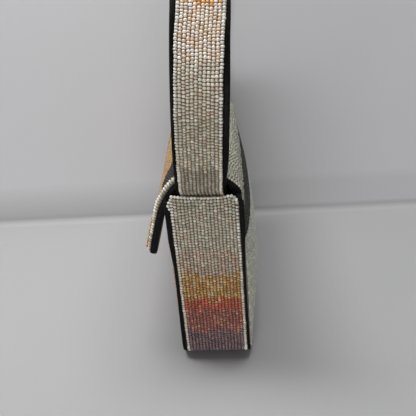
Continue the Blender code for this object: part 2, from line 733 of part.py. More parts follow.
def build():
    for old in list(bpy.data.objects):
        bpy.data.objects.remove(old)
    stuffs = {
        "leather": material("black_leather", (0.012, 0.012, 0.013), 0.55),
        "suede": material("black_suede", (0.022, 0.021, 0.022), 0.9),
        "board": material("grey_board", (0.33, 0.30, 0.26), 0.9),
        "lining": material("lining_cloth", (0.10, 0.09, 0.09), 0.8),
        "gusset": material("sunset_beads", (0.62, 0.47, 0.34), 0.3),
        "strap": material("cream_beads", (0.66, 0.60, 0.49), 0.3),
        "front": material("orange_beads", (0.74, 0.42, 0.17), 0.3),
        "back": material("ivory_beads", (0.62, 0.61, 0.52), 0.3),
        "steel": material("magnet_steel", (0.45, 0.45, 0.47), 0.35, 1.0),
        "brass": material("rivet_brass", (0.70, 0.55, 0.28), 0.3, 1.0),
    }
    front = front_top()
    front_board = walls(-1, "front", front, FRONT_BULGE, stuffs)
    walls(1, "back", PANEL_TOP, BACK_BULGE, stuffs)
    front_magnet(front, front_board, stuffs)
    mouth_binding(front, stuffs["leather"])
    fold_tape(stuffs["lining"])
    slip_pocket(stuffs["lining"])

    band_top = HEM_HEIGHT - BAND_TOP_DROP
    band("gusset_band", BAND_INNER, BAND_INNER, band_top, GUSSET_HALF, BAND_THICKNESS, stuffs["board"])
    lining_level = BAND_INNER + BASE_BOARD_THICKNESS + GAP * 2 + LINING_THICKNESS
    lining = band(
        "gusset_lining",
        GUSSET_LINING_OUTSET + LINING_THICKNESS,
        lining_level,
        PANEL_TOP - SLOT_LINING_DROP,
        LINING_INNER - GAP,
        LINING_THICKNESS,
        stuffs["lining"],
    )
    for side, word in ((1, "right"), (-1, "left")):
        gusset_beading(f"gusset_beading_{word}", side, stuffs["gusset"])
        gusset_hem(f"gusset_hem_{word}", side, stuffs["gusset"])
    base(stuffs)
    flap(stuffs)
    core, strap_pivot = strap(stuffs)
    anchors(core, strap_pivot, lining, stuffs)


build()
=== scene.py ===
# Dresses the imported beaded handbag: glass seed beads sewn in columns over its boards, black leather edges,
# suede and cloth linings, and a plain pale studio corner.
import math
from functools import partial

import bpy
import numpy as np
from mathutils import Matrix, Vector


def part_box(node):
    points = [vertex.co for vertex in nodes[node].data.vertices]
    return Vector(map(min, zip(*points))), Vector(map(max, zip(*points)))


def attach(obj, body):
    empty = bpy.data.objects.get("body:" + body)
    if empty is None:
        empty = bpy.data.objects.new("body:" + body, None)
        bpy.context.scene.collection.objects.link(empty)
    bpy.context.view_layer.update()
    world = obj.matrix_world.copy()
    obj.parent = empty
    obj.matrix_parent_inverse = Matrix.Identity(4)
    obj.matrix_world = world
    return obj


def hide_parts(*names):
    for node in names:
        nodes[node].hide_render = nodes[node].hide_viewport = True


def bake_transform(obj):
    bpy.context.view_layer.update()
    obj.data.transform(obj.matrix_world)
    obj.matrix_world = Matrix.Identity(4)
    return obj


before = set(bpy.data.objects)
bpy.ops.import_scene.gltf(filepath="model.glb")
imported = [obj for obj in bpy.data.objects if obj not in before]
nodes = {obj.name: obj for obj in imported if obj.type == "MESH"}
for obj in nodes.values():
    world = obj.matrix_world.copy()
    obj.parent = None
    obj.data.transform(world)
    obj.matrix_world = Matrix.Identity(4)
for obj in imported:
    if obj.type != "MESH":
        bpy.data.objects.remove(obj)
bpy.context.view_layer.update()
dice = np.random.default_rng(7)
nudge = 1e-5  # a short step on a surface, for its directions
ends = ((1, "right"), (-1, "left"))
print("frame loaded,", len(nodes), "nodes")

# Sizes that the pieces share, in metres. The upright shape is sheared forward by lean.
body = {
    "halfLength": 0.100, "gussetHalf": 0.02185, "corner": 0.012, "lean": 0.05, "frontTop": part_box("front_board")[1].z,
    "backTop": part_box("back_board")[1].z, "boardInner": 0.02215, "beadOuter": 0.02535, "liningInner": 0.02055,
}
bead = {"pitch": 0.0023, "row": 0.00204, "width": 0.00228, "length": 0.00178, "depth": 0.00187}
hem = {
    "height": 0.1285, "backRise": 0.006, "frontRise": 0.0015, "rowsFrom": 0.098, "roundWide": 0.0056,
    "roundTall": 0.0092, "inset": 0.0010, "above": 0.0010,
}
# Each of the flap's arcs is a radius and degrees. edge is half the width and the length of its leather.
flap = {
    "start": (0.02425, 0.12765), "arcs": ((0.008, 41.0), (0.0285, 99.0), (0.060, 20.0), (0.250, 180.0)),
    "half": 0.0882, "length": 0.1067, "dip": 0.008, "corner": 0.0027, "edge": (0.0905, 0.109), "pillow": 0.001,
}
# The strap's line is a root, a bend outwards and an oval. It turns by tilt degrees about its anchor.
strap = {
    "root": 0.0924, "from": 0.104, "coverFrom": 0.1252, "bend": 0.012, "low": 0.1286, "hip": 0.050, "arch": 0.101,
    "anchor": (-0.0071, 0.118), "tilt": 1.4,
}
strapForm = {
    "at": [0.0, 0.012, 0.040, 0.080, 0.104, 0.122, 0.140, 1.0],
    "twist": [0.0, 0.0, 4.0, 4.0, 0.0, -3.4, -4.0, -4.0],
    "shift": [0.0, -0.0013, -0.0015, -0.0014, -0.0009, 0.0, 0.0006, 0.0006],
    "backWide": [0.0, 0.0, 0.0015, 0.0016, 0.0010, 0.0004, 0.0, 0.0],
    "frontWide": [0.0, 0.0, 0.0, 0.0, 0.0004, 0.0012, 0.0020, 0.0020],
}


# Surfaces: each takes two arrays that run over it and a level above it, and gives points in metres


# Shears upright points forward: y loses lean times z.
def leaned(x, y, z):
    x, y, z = np.broadcast_arrays(x, y, z)
    return np.stack([x, y - body["lean"] * z, z], axis=-1)


# A surface with levels counted inwards from start, so that a sheet's eased face is its inner one.
def inwards(place, start, u, v, level):
    return place(u, v, start - level)


# Swell of a stuffed wall: its amount times (1 - |x/half| to 2.7) times sin(pi times height share) to 0.7.
def swell(x, z, top, amount):
    along = np.clip(np.abs(x) / body["halfLength"], 0, 1)
    up = np.clip(z / (0.95 * top), 0, 1)
    return amount * (1 - along**2.7) * np.clip(np.sin(np.pi * up), 0, 1) ** 0.7


# A long wall: x and height z, at level plus swell from the middle plane, to the front or the back.
def wallPlace(side, top, amount, x, z, level):
    return leaned(x, side * (level + swell(x, z, top, amount)), z)


# The top edge of the gusset's beadwork: dips in the middle, climbs by the fifth power towards the back.
def hemHeight(y):
    share = y / body["gussetHalf"]
    return hem["height"] + np.where(share > 0, hem["backRise"] * np.abs(share) ** 5, hem["frontRise"] * share**2)


# How far the hem hangs below its line where it curls round the top corner at the back: a quarter ellipse.
def hemCurl(y):
    over = np.clip((y - body["gussetHalf"] + hem["inset"] + hem["roundWide"]) / hem["roundWide"], 0, 1)
    return hem["roundTall"] * (1 - np.sqrt(1 - over**2))


# One end of the bag: a quarter circle from the base, then straight up. Near the top the rows
# rise with the hem. Level is measured outwards from the outer face.
def gussetPlace(side, y, along, level):
    corner = body["corner"]
    turn = np.clip(along / corner, 0, math.pi / 2)
    x = body["halfLength"] - corner + (corner + level) * np.sin(turn)
    z = corner - (corner + level) * np.cos(turn) + np.clip(along - corner * math.pi / 2, 0, None)
    rise = np.clip((z - hem["rowsFrom"]) / (hem["height"] - hem["rowsFrom"]), 0, None) ** 1.5
    return leaned(side * x, y, z + (hemHeight(y) - hem["height"]) * rise)


# The flap's outer line seen from its end: arcs that follow on without a corner, as points and directions out.
def flapLine(down):
    arcs = flap["arcs"]
    y, z = flap["start"][0] - arcs[0][0], flap["start"][1]
    turn = 0.0
    left = np.asarray(down, float)
    line = None
    for number, (radius, degrees) in enumerate(arcs):
        if number:
            y += (arcs[number - 1][0] - radius) * math.cos(turn)
            z += (arcs[number - 1][0] - radius) * math.sin(turn)
        angle = turn + left / radius
        found = np.stack([y + radius * np.cos(angle), z + radius * np.sin(angle), np.cos(angle), np.sin(angle)], -1)
        line = found if line is None else np.where((left > 0)[..., None], found, line)
        turn += math.radians(degrees)
        left = left - radius * math.radians(degrees)
    return line


# A straight side of a line at x: points and directions out.
def straightSide(x, up):
    return np.stack([np.full_like(up, x), up, np.ones_like(up), np.zeros_like(up)], -1)


# The same line of points and directions on the other side of the middle, run the other way.
def mirrored(line):
    return line[::-1] * [-1, 1, -1, 1]


# The flap: x along the bag, distance down from the fold, level above its face. Its pillow is highest in the
# middle: (1 - share across squared) times sin(pi times share down) squared.
def flapPlace(x, down, level):
    line = flapLine(down + 0.00035)
    across = np.clip(np.abs(x) / flap["edge"][0], 0, 1)
    lift = (1 - across**2) * np.sin(np.pi * np.clip(down / flap["edge"][1], 0, 1)) ** 2
    rise = level + flap["pillow"] * lift
    return leaned(x, line[..., 0] + line[..., 2] * rise, line[..., 1] + line[..., 3] * rise)


# The strap's middle line from the right root to the left: a root, a bend outwards and most of an oval, as
# points and directions out, and the distance along it from where its cover starts.
def strapLine():
    root, bend, low, hip, arch = (strap[name] for name in ("root", "bend", "low", "hip", "arch"))
    angle = 0.0
    for _ in range(40):
        reach = root + bend * (1 - math.cos(angle))
        angle = math.atan2(reach * hip, arch**2 - hip**2)
    centre = low + bend * math.sin(angle) + hip
    width = reach / math.sqrt(1 - (hip / arch) ** 2)
    leg = straightSide(root, np.array([strap["from"], strap["coverFrom"], low]))
    turn = np.linspace(0, angle, 12)[1:]
    knee = np.stack([root + bend * (1 - np.cos(turn)), low + bend * np.sin(turn), np.cos(turn), -np.sin(turn)], -1)
    turn = np.linspace(-math.asin(hip / arch), math.pi / 2, 160)[1:]
    x, z = width * np.cos(turn), arch * np.sin(turn)
    slope = np.hypot(x / width**2, z / arch**2)
    oval = np.stack([x, centre + z, x / width**2 / slope, z / arch**2 / slope], -1)
    half = np.vstack([leg, knee, oval])
    line = np.vstack([half, mirrored(half)[1:]])
    steps = np.hypot(*np.diff(line[:, :2], axis=0).T)
    along = np.r_[0, np.cumsum(steps)]
    return line, along - along[1]


strapShape, strapAlong = strapLine()
strapLength = float(strapAlong[-2])


# A value of the strap's form at a distance along it, eased between the places given, alike from both roots.
def strapValue(along, name):
    near = np.minimum(along, strapLength - along)
    at = np.array(strapForm["at"])
    step = np.clip(np.searchsorted(at, near) - 1, 0, len(at) - 2)
    share = np.clip((near - at[step]) / (at[step + 1] - at[step]), 0, 1)
    value = np.array(strapForm[name])
    return value[step] + (value[step + 1] - value[step]) * share**2 * (3 - 2 * share)


# The strap: y across it, distance along its cover, level outwards from its middle layer. It twists one way at
# its hips and the other way above them, sways by a millimetre, and is turned back about its two anchors.
def strapPlace(y, along, level):
    x, z, outX, outZ = (np.interp(along, strapAlong, strapShape[:, i]) for i in range(4))
    twist = np.radians(strapValue(along, "twist"))
    y, level = y * np.cos(twist) - level * np.sin(twist), level * np.cos(twist) + y * np.sin(twist)
    y = y + strapValue(along, "shift")
    anchorY, anchorZ = strap["anchor"]
    x, up = x + outX * level, z + outZ * level - anchorZ
    c, s = math.cos(math.radians(strap["tilt"])), math.sin(math.radians(strap["tilt"]))
    return np.stack([x, anchorY + y * c + up * s, anchorZ + up * c - y * s], -1)


# Meshes


def unit(vectors):
    return vectors / np.linalg.norm(vectors, axis=-1, keepdims=True)


# Vertices as one array, faces as arrays of equal corner counts. A shape that encloses less than
# nothing is inside out, so its faces are turned round.
def newPiece(name, points, faceSets, material, smoothAngle=None):
    points = np.ascontiguousarray(points.reshape(-1, 3), np.float32)
    volume = 0.0
    for faces in faceSets:
        for i in range(1, faces.shape[1] - 1):
            a, b, c = (points[faces[:, j]].astype(float) for j in (0, i, i + 1))
            volume += np.einsum("ij,ij->i", a, np.cross(b, c)).sum()
    if volume < 0:
        faceSets = [faces[:, ::-1] for faces in faceSets]
    corners = np.concatenate([faces.ravel() for faces in faceSets]).astype(np.int32)
    sizes = np.concatenate([np.full(len(faces), faces.shape[1]) for faces in faceSets])
    mesh = bpy.data.meshes.new(name)
    mesh.vertices.add(len(points))
    mesh.vertices.foreach_set("co", points.ravel())
    mesh.loops.add(len(corners))
    mesh.loops.foreach_set("vertex_index", corners)
    mesh.polygons.add(len(sizes))
    mesh.polygons.foreach_set("loop_start", np.r_[0, np.cumsum(sizes)[:-1]].astype(np.int32))
    mesh.update(calc_edges=True)
    mesh.validate()
    mesh.shade_smooth()
    if smoothAngle:
        mesh.set_sharp_from_angle(angle=math.radians(smoothAngle))
    mesh.materials.append(material)
    obj = bpy.data.objects.new(name, mesh)
    bpy.context.scene.collection.objects.link(obj)
    return obj


# A UV map in metres, so that a weave keeps its scale and follows the piece.
def layWeave(obj, flat):
    layer = obj.data.uv_layers.new(name="weave")
    corners = np.empty(len(obj.data.loops), np.int32)
    obj.data.loops.foreach_get("vertex_index", corners)
    layer.uv.foreach_set("vector", np.ascontiguousarray(flat.reshape(-1, 2)[corners], np.float32).ravel())


def gridQuads(rows, columns, closeColumns=False, closeRows=False):
    index = np.arange(rows * columns).reshape(rows, columns)
    if closeRows:
        index = np.vstack([index, index[:1]])
    if closeColumns:
        index = np.hstack([index, index[:, :1]])
    return np.stack([index[:-1, :-1], index[1:, :-1], index[1:, 1:], index[:-1, 1:]], -1).reshape(-1, 4)


# Even steps with a few close ones at both ends, where an edge rounds off.
def edged(first, last, count, edge=0.0006):
    close = edge * np.array([0, 0.12, 0.35, 0.65, 1.0])
    inner = np.linspace(first + edge, last - edge, count)
    return np.concatenate([first + close, inner[1:-1], (last - close)[::-1]])


def grid(u, v):
    return np.meshgrid(u, v, indexing="ij")


# For each place of a grid, its distance from the first edge along one axis and from the nearest edge.
def edgeDistance(points, axis):
    along = np.cumsum(np.linalg.norm(np.diff(points, axis=axis), axis=-1), axis=axis)
    along = np.insert(along, 0, 0.0, axis=axis)
    return along, np.minimum(along, np.take(along, [-1], axis=axis) - along)


# A closed sheet between two levels over a grid: its outer face sinks along its edges as a quarter circle, and
# ripples by a product of two bent sine waves.
def sheetPiece(name, place, u, v, low, high, material, ease=0.0006, ripple=0.0):
    flatOuter = place(u, v, high)
    alongU, edgeU = edgeDistance(flatOuter, 0)
    alongV, edgeV = edgeDistance(flatOuter, 1)
    easedU, easedV = (np.sqrt(1 - (1 - np.clip(edge / ease, 0, 1)) ** 2) for edge in (edgeU, edgeV))
    lift = 0.25 + 0.75 * easedU * easedV
    wave = np.sin(alongU * 410 + 2.2 * np.sin(alongV * 130)) * np.sin(alongV * 260 + 1.7 * np.sin(alongU * 90))
    outer = place(u, v, low + (high - low) * lift + ripple * wave * easedU * easedV)
    inner = place(u, v, low * np.ones_like(lift))
    shift = u.size
    quads = gridQuads(*u.shape)
    index = np.arange(shift).reshape(u.shape)
    rim = np.concatenate([index[0, :], index[1:, -1], index[-1, -2::-1], index[-2:0:-1, 0]])
    nextRim = np.roll(rim, -1)
    walls = np.stack([rim, nextRim, nextRim + shift, rim + shift], -1)
    points = np.concatenate([outer.reshape(-1, 3), inner.reshape(-1, 3)])
    obj = newPiece(name, points, [quads, quads[:, ::-1] + shift, walls], material, 50)
    flat = np.stack([alongU, alongV], -1).reshape(-1, 2)
    layWeave(obj, np.concatenate([flat, flat]))
    return obj


# A closed roll: a rounded section carried along a path. place takes the path's step, the distance
# inwards from its outer edge, and a level. Its corners are marked as worn.
def rollPiece(name, place, steps, width, low, high, material, sides=20, square=0.55):
    turn = np.linspace(0, 2 * math.pi, sides, endpoint=False)
    across = width / 2 * (1 - np.sign(np.cos(turn)) * np.abs(np.cos(turn)) ** square)
    up = (low + high) / 2 + (high - low) / 2 * np.sign(np.sin(turn)) * np.abs(np.sin(turn)) ** square
    points = place(*np.broadcast_arrays(np.arange(steps)[:, None], across, up))
    caps = np.stack([np.arange(sides)[::-1], (steps - 1) * sides + np.arange(sides)])
    obj = newPiece(name, points, [gridQuads(steps, sides, True), caps], material, 50)
    wear = np.tile(np.abs(np.sin(2 * turn)) ** 2, steps).astype(np.float32)
    obj.data.attributes.new("wear", "FLOAT", "POINT").data.foreach_set("value", wear)
    return obj


# The outline of a hanging panel from its right top corner round its lower edge, which may dip, to its left top
# corner: points, and directions outwards, as x and distance down.
def hangingLine(half, length, corner, dip=0.0, sideSteps=40):
    down = np.linspace(0, length - corner, sideSteps)
    turn = np.linspace(0, math.pi / 2, 9)[1:-1]
    share = np.linspace(1, -1, 60)
    c, s = np.cos(turn), np.sin(turn)
    bend = np.stack([half - corner + corner * c, length - corner + corner * s, c, s], -1)
    low = np.stack([(half - corner) * share, length + dip * (1 - share**2), 0 * share, np.ones_like(share)], -1)
    side = np.vstack([straightSide(half, down), bend])
    return np.vstack([side, low, mirrored(side)])


# A small turned shape about its own axis: rings of (place on the axis, radius), both as shares.
def turnedShape(sides, rings):
    turn = np.linspace(0, 2 * math.pi, sides, endpoint=False) + math.pi / sides
    along, radius = np.array(rings).T[..., None]
    points = np.stack([radius * np.cos(turn), np.repeat(along, sides, 1), radius * np.sin(turn)], -1).reshape(-1, 3)
    last = (len(rings) - 1) * sides
    return points, [gridQuads(len(rings), sides, True), np.stack([np.arange(sides)[::-1], last + np.arange(sides)])]


fineBead = turnedShape(8, ((-0.5, 0.42), (-0.38, 0.80), (-0.14, 1), (0.14, 1), (0.38, 0.80), (0.5, 0.42)))
plainBead = turnedShape(8, ((-0.5, 0.58), (-0.24, 0.98), (0.24, 0.98), (0.5, 0.58)))
hiddenBead = turnedShape(6, ((-0.5, 0.60), (-0.25, 1.0), (0.25, 1.0), (0.5, 0.60)))
stitchShape = turnedShape(6, ((-0.5, 0.3), (-0.36, 0.85), (0, 1), (0.36, 0.85), (0.5, 0.3)))


# One shape at each (u, v), its axis along (du, dv), turned, moved and resized a little at random by loose.
# Its last argument sets how much painted shade darkens and warms a bead deep in its gaps.
def repeatedPiece(
    name, place, u, v, level, shape, size, material, colours=None, du=0.0, dv=1.0, loose=0.065, paintedShade=1.0
):
    points, faceSets = shape
    amount = len(u)
    centre = place(u, v, level)
    axis = unit(place(u + du * nudge, v + dv * nudge, level) - place(u - du * nudge, v - dv * nudge, level))
    out = unit(place(u, v, level + nudge) - place(u, v, level - nudge))
    across = unit(np.cross(axis, out))
    aside, outwards = loose * dice.normal(size=(amount, 1)), 0.6 * loose * dice.normal(size=(amount, 1))
    axis = unit(axis + aside * across + outwards * out)
    across = unit(np.cross(axis, out))
    out = np.cross(across, axis)
    length, width, depth = (np.asarray(s) * np.ones(amount) for s in size)
    grow = 1 + np.clip(dice.normal(0, 0.9 * loose, (amount, 3)), -2 * loose, 2 * loose)
    grow[:, 2] = np.minimum(grow[:, 2], 1)
    centre = centre + across * (width * np.clip(dice.normal(0, 0.6 * loose, amount), -0.07, 0.07))[:, None]
    made = (
        centre[:, None, :]
        + across[:, None, :] * (points[None, :, 0] * (width * grow[:, 0])[:, None] / 2)[..., None]
        + axis[:, None, :] * (points[None, :, 1] * (length * grow[:, 1])[:, None])[..., None]
        + out[:, None, :] * (points[None, :, 2] * (depth * grow[:, 2])[:, None] / 2)[..., None]
    )
    start = (np.arange(amount) * len(points))[:, None, None]
    faceSets = [(faces[None] + start).reshape(-1, faces.shape[1]) for faces in faceSets]
    obj = newPiece(name, made, faceSets, material)
    if colours is not None:
        # Painted shade: each bead's colour turns darker and warmer towards its lower side, deep in the gaps between
        # beads.
        sunk = 1 - np.clip((points[:, 2] + 0.9) / 1.1, 0, 1)
        inner = 1 - (paintedShade * np.ones(amount))[:, None, None] * sunk[:, None] * np.array([0.30, 0.42, 0.54])
        painted = np.ones((amount, len(points), 4), np.float32)
        painted[..., :3] = colours[:, None, :] * inner
        obj.data.attributes.new("beadColourAndShade", "FLOAT_COLOR", "POINT").data.foreach_set("color", painted.ravel())
    return obj


# Even places along a line of (u, v) on a surface, with the line's direction at each.
def evenPlaces(place, line, level, spacing):
    points = place(line[:, 0], line[:, 1], level)
    along = np.r_[0, np.cumsum(np.linalg.norm(np.diff(points, axis=0), axis=1))]
    count = max(int(along[-1] / spacing), 2)
    at = (np.arange(count) + 0.5) * along[-1] / count
    (u, v), ahead, behind = (
        [np.interp(at + step, along, line[:, i]) for i in (0, 1)] for step in (0, nudge * 20, -nudge * 20)
    )
    du, dv = ahead[0] - behind[0], ahead[1] - behind[1]
    size = np.hypot(du, dv)
    return u, v, du / size, dv / size


stitch = {"spacing": 0.0030, "size": (0.0023, 0.00052, 0.00042), "loose": 0.04}


def stitchPiece(name, place, lines, level):
    found = [evenPlaces(place, np.asarray(line, float), level, stitch["spacing"]) for line in lines]
    u, v, du, dv = (np.concatenate([f[i] for f in found]) for i in range(4))
    size, loose = stitch["size"], stitch["loose"]
    return repeatedPiece(name, place, u, v, level, stitchShape, size, blackThread, None, du, dv, loose)


# Beads threaded along lines on a surface, one after another.
def threadedPiece(name, place, found, level, size, colours, loose=0.065):
    u, v, du, dv = found
    return repeatedPiece(name, place, u, v, level, fineBead, size, glass, colours, du, dv, loose)


def dress(obj, rides, slotName, *replaced):
    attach(obj, rides)
    if replaced:
        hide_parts(*replaced)


# A sheet that is sewn or glued to what it rests on, dressed like any other piece. The size it was cut to and what it
# rests on are not used.
def dressSheet(obj, flat, restsOn, rides, slotName, *replaced):
    dress(obj, rides, slotName, *replaced)


# Materials. bench holds the one being made, with its tree, its shader and its Object coordinates.
bench = {}


# A node with its settings, and its sockets set to a number or linked to another node's socket.
def addNode(kind, sockets=None, **settings):
    made = bench["tree"].nodes.new(kind)
    for key, value in settings.items():
        setattr(made, key, value)
    for key, value in (sockets or {}).items():
        if isinstance(value, bpy.types.NodeSocket):
            bench["tree"].links.new(value, made.inputs[key])
        else:
            made.inputs[key].default_value = value
    return made


def mixColours(share, *colours):
    first, second = (c if isinstance(c, bpy.types.NodeSocket) else (*c, 1) for c in colours)
    return addNode("ShaderNodeMix", {0: share, 6: first, 7: second}, data_type="RGBA").outputs[2]


def ranged(value, low, high, toLow=0.0, toHigh=1.0):
    sockets = {"Value": value, "From Min": low, "From Max": high, "To Min": toLow, "To Max": toHigh}
    return addNode("ShaderNodeMapRange", sockets).outputs[0]


def maths(operation, first, second):
    return addNode("ShaderNodeMath", {0: first, 1: second}, operation=operation).outputs[0]


def noise(scale, detail=2.0, rough=0.5, coords=None):
    sockets = {"Vector": coords or bench["coords"], "Scale": scale, "Detail": detail, "Roughness": rough}
    return addNode("ShaderNodeTexNoise", sockets).outputs[0]


# Waves along one axis, a thread apart.
def threads(coords, thread, direction, distortion):
    sockets = {"Vector": coords, "Scale": 2 * math.pi / (20 * thread), "Distortion": distortion, "Detail": 1.0}
    return addNode("ShaderNodeTexWave", sockets, bands_direction=direction).outputs["Fac"]


# A new material with plain values on its shader's own sockets.
def newMaterial(name, **values):
    made = bpy.data.materials.new(name)
    made.use_nodes = True
    shader = made.node_tree.nodes["Principled BSDF"]
    for key, value in values.items():
        shader.inputs[key.replace("_", " ")].default_value = value
    bench.update(material=made, tree=made.node_tree, shader=shader)
    bench["coords"] = addNode("ShaderNodeTexCoord").outputs["Object"]


# Links a colour, a bump that is distance metres high and a roughness to the shader, and hands over the material.
def finished(colour, height=None, distance=0.0, strength=1.0, roughness=None):
    inputs, links = bench["shader"].inputs, bench["tree"].links
    links.new(colour, inputs["Base Color"])
    if height:
        bump = addNode("ShaderNodeBump", {"Height": height, "Distance": distance, "Strength": strength})
        links.new(bump.outputs[0], inputs["Normal"])
    if roughness:
        links.new(roughness, inputs["Roughness"])
    return bench["material"]


# Glass seed beads: each has its own colour with painted shade deep in its gaps, a slightly streaked body and a skin,
# glossy or dull.
def beadGlass(name, coat, specular):
    newMaterial(name, Coat_Weight=coat, Coat_Roughness=0.12, Specular_IOR_Level=specular)
    colour = addNode("ShaderNodeAttribute", attribute_name="beadColourAndShade").outputs["Color"]
    streak = noise(1500)
    milky = mixColours(0.5, colour, (0.9, 0.84, 0.74))
    tint = mixColours(ranged(streak, 0.3, 0.7, 0.0, 0.18), colour, milky)
    return finished(tint, streak, 0.00003, 0.5, ranged(noise(420), 0.3, 0.7, 0.16, 0.40))


# Black leather: pebbles about half a millimetre across, soft creases, and paler worn corners.
def blackLeather():
    newMaterial("blackLeather", Specular_IOR_Level=0.09)
    sockets = {"Vector": bench["coords"], "Scale": 1900.0}
    cells = addNode("ShaderNodeTexVoronoi", sockets, feature="SMOOTH_F1").outputs["Distance"]
    crease = noise(260, 3)
    wear = addNode("ShaderNodeAttribute", attribute_name="wear").outputs["Fac"]
    worn = maths("MULTIPLY", maths("MULTIPLY", wear, ranged(noise(420, 3), 0.45, 0.7)), 0.3)
    base = mixColours(crease, (0.0008, 0.0008, 0.0010), (0.005, 0.005, 0.0055))
    height = maths("ADD", cells, maths("MULTIPLY", crease, 0.6))
    dull = ranged(crease, 0.3, 0.7, 0.38, 0.6)
    return finished(mixColours(worn, base, (0.05, 0.047, 0.044)), height, 0.00010, 0.7, dull)


# Black suede: a fine nap whose tone turns in soft patches.
def blackSuede():
    newMaterial("blackSuede", Roughness=0.92, Sheen_Weight=0.35, Sheen_Roughness=0.45, Specular_IOR_Level=0.2)
    nap = noise(3200, 3, 0.7)
    patch = mixColours(noise(70, 3), (0.012, 0.0115, 0.012), (0.032, 0.030, 0.031))
    return finished(mixColours(ranged(nap, 0.35, 0.65, 0, 0.6), patch, (0.045, 0.043, 0.043)), nap, 0.00012, 0.8)


# Woven cloth on the piece's own UV map: two sets of ribs that cross, a thread apart.
def wovenCloth(name, thread, dark, light, ribs=1.0):
    newMaterial(name, Roughness=0.85, Sheen_Weight=0.15, Specular_IOR_Level=0.25)
    flat = addNode("ShaderNodeUVMap", uv_map="weave").outputs[0]
    weave = maths("MULTIPLY", threads(flat, thread, "X", 0.4), threads(flat, thread * ribs, "Y", 0.4))
    slub = ranged(noise(240, 3), 0.35, 0.65, 0, 0.35)
    return finished(mixColours(slub, mixColours(weave, dark, light), dark), weave, 0.00012, 0.8)


# Cloth-covered board under the beads: canvas, its threads along all three axes so that any side has them.
def boardCloth(name, dark, light):
    newMaterial(name, Roughness=0.9, Specular_IOR_Level=0.2)
    waves = [threads(bench["coords"], 0.0006, direction, 0.6) for direction in ("X", "Y", "Z")]
    weave = maths("MULTIPLY", maths("ADD", waves[0], maths("ADD", waves[1], waves[2])), 0.333)
    return finished(mixColours(maths("MULTIPLY", weave, noise(160, 3)), dark, light), weave, 0.0001, 0.6)


# Waxed thread: a tight twist across each stitch.
def waxedThread(name, dark, light):
    newMaterial(name, Roughness=0.55, Specular_IOR_Level=0.4)
    sockets = {"Vector": bench["coords"], "Scale": 900.0, "Distortion": 1.5}
    twist = addNode("ShaderNodeTexWave", sockets, bands_direction="DIAGONAL").outputs["Fac"]
    return finished(mixColours(twist, dark, light), twist, 0.00006, 0.8)


# Turned metal: fine rings of wear and a few dull spots.
def turnedMetal(name, colour, dullColour):
    newMaterial(name, Metallic=1.0)
    spots = ranged(noise(700, 4, 0.6), 0.5, 0.75, 0, 0.7)
    drawn = addNode("ShaderNodeMapping", {"Vector": bench["coords"], "Scale": (1, 12, 1)}).outputs[0]
    brushed = noise(900, coords=drawn)
    dull = ranged(brushed, 0.3, 0.7, 0.2, 0.42)
    return finished(mixColours(spots, colour, dullColour), brushed, 0.00002, 0.5, dull)


glass = beadGlass("beadGlass", 0.2, 0.45)
jet = beadGlass("jetGlass", 0.0, 0.06)
leather = blackLeather()
suede = blackSuede()
lining = wovenCloth("liningTwill", 0.0007, (0.035, 0.031, 0.030), (0.10, 0.092, 0.088))
tape = wovenCloth("ribbedTape", 0.0005, (0.02, 0.019, 0.019), (0.07, 0.066, 0.064), ribs=4.0)
canvas = boardCloth("boardCanvas", (0.20, 0.135, 0.085), (0.54, 0.40, 0.28))
greyCanvas = boardCloth("greyCanvas", (0.24, 0.225, 0.18), (0.50, 0.48, 0.40))
ground = wovenCloth("groundCloth", 0.0005, (0.28, 0.18, 0.10), (0.60, 0.41, 0.25))
piping = waxedThread("brownPiping", (0.055, 0.035, 0.025), (0.15, 0.10, 0.07))
blackThread = waxedThread("blackThread", (0.02, 0.02, 0.021), (0.07, 0.068, 0.067))
brass = turnedMetal("rivetBrass", (0.78, 0.60, 0.30), (0.42, 0.30, 0.15))
steel = turnedMetal("magnetSteel", (0.52, 0.52, 0.54), (0.30, 0.30, 0.31))
print("materials made")

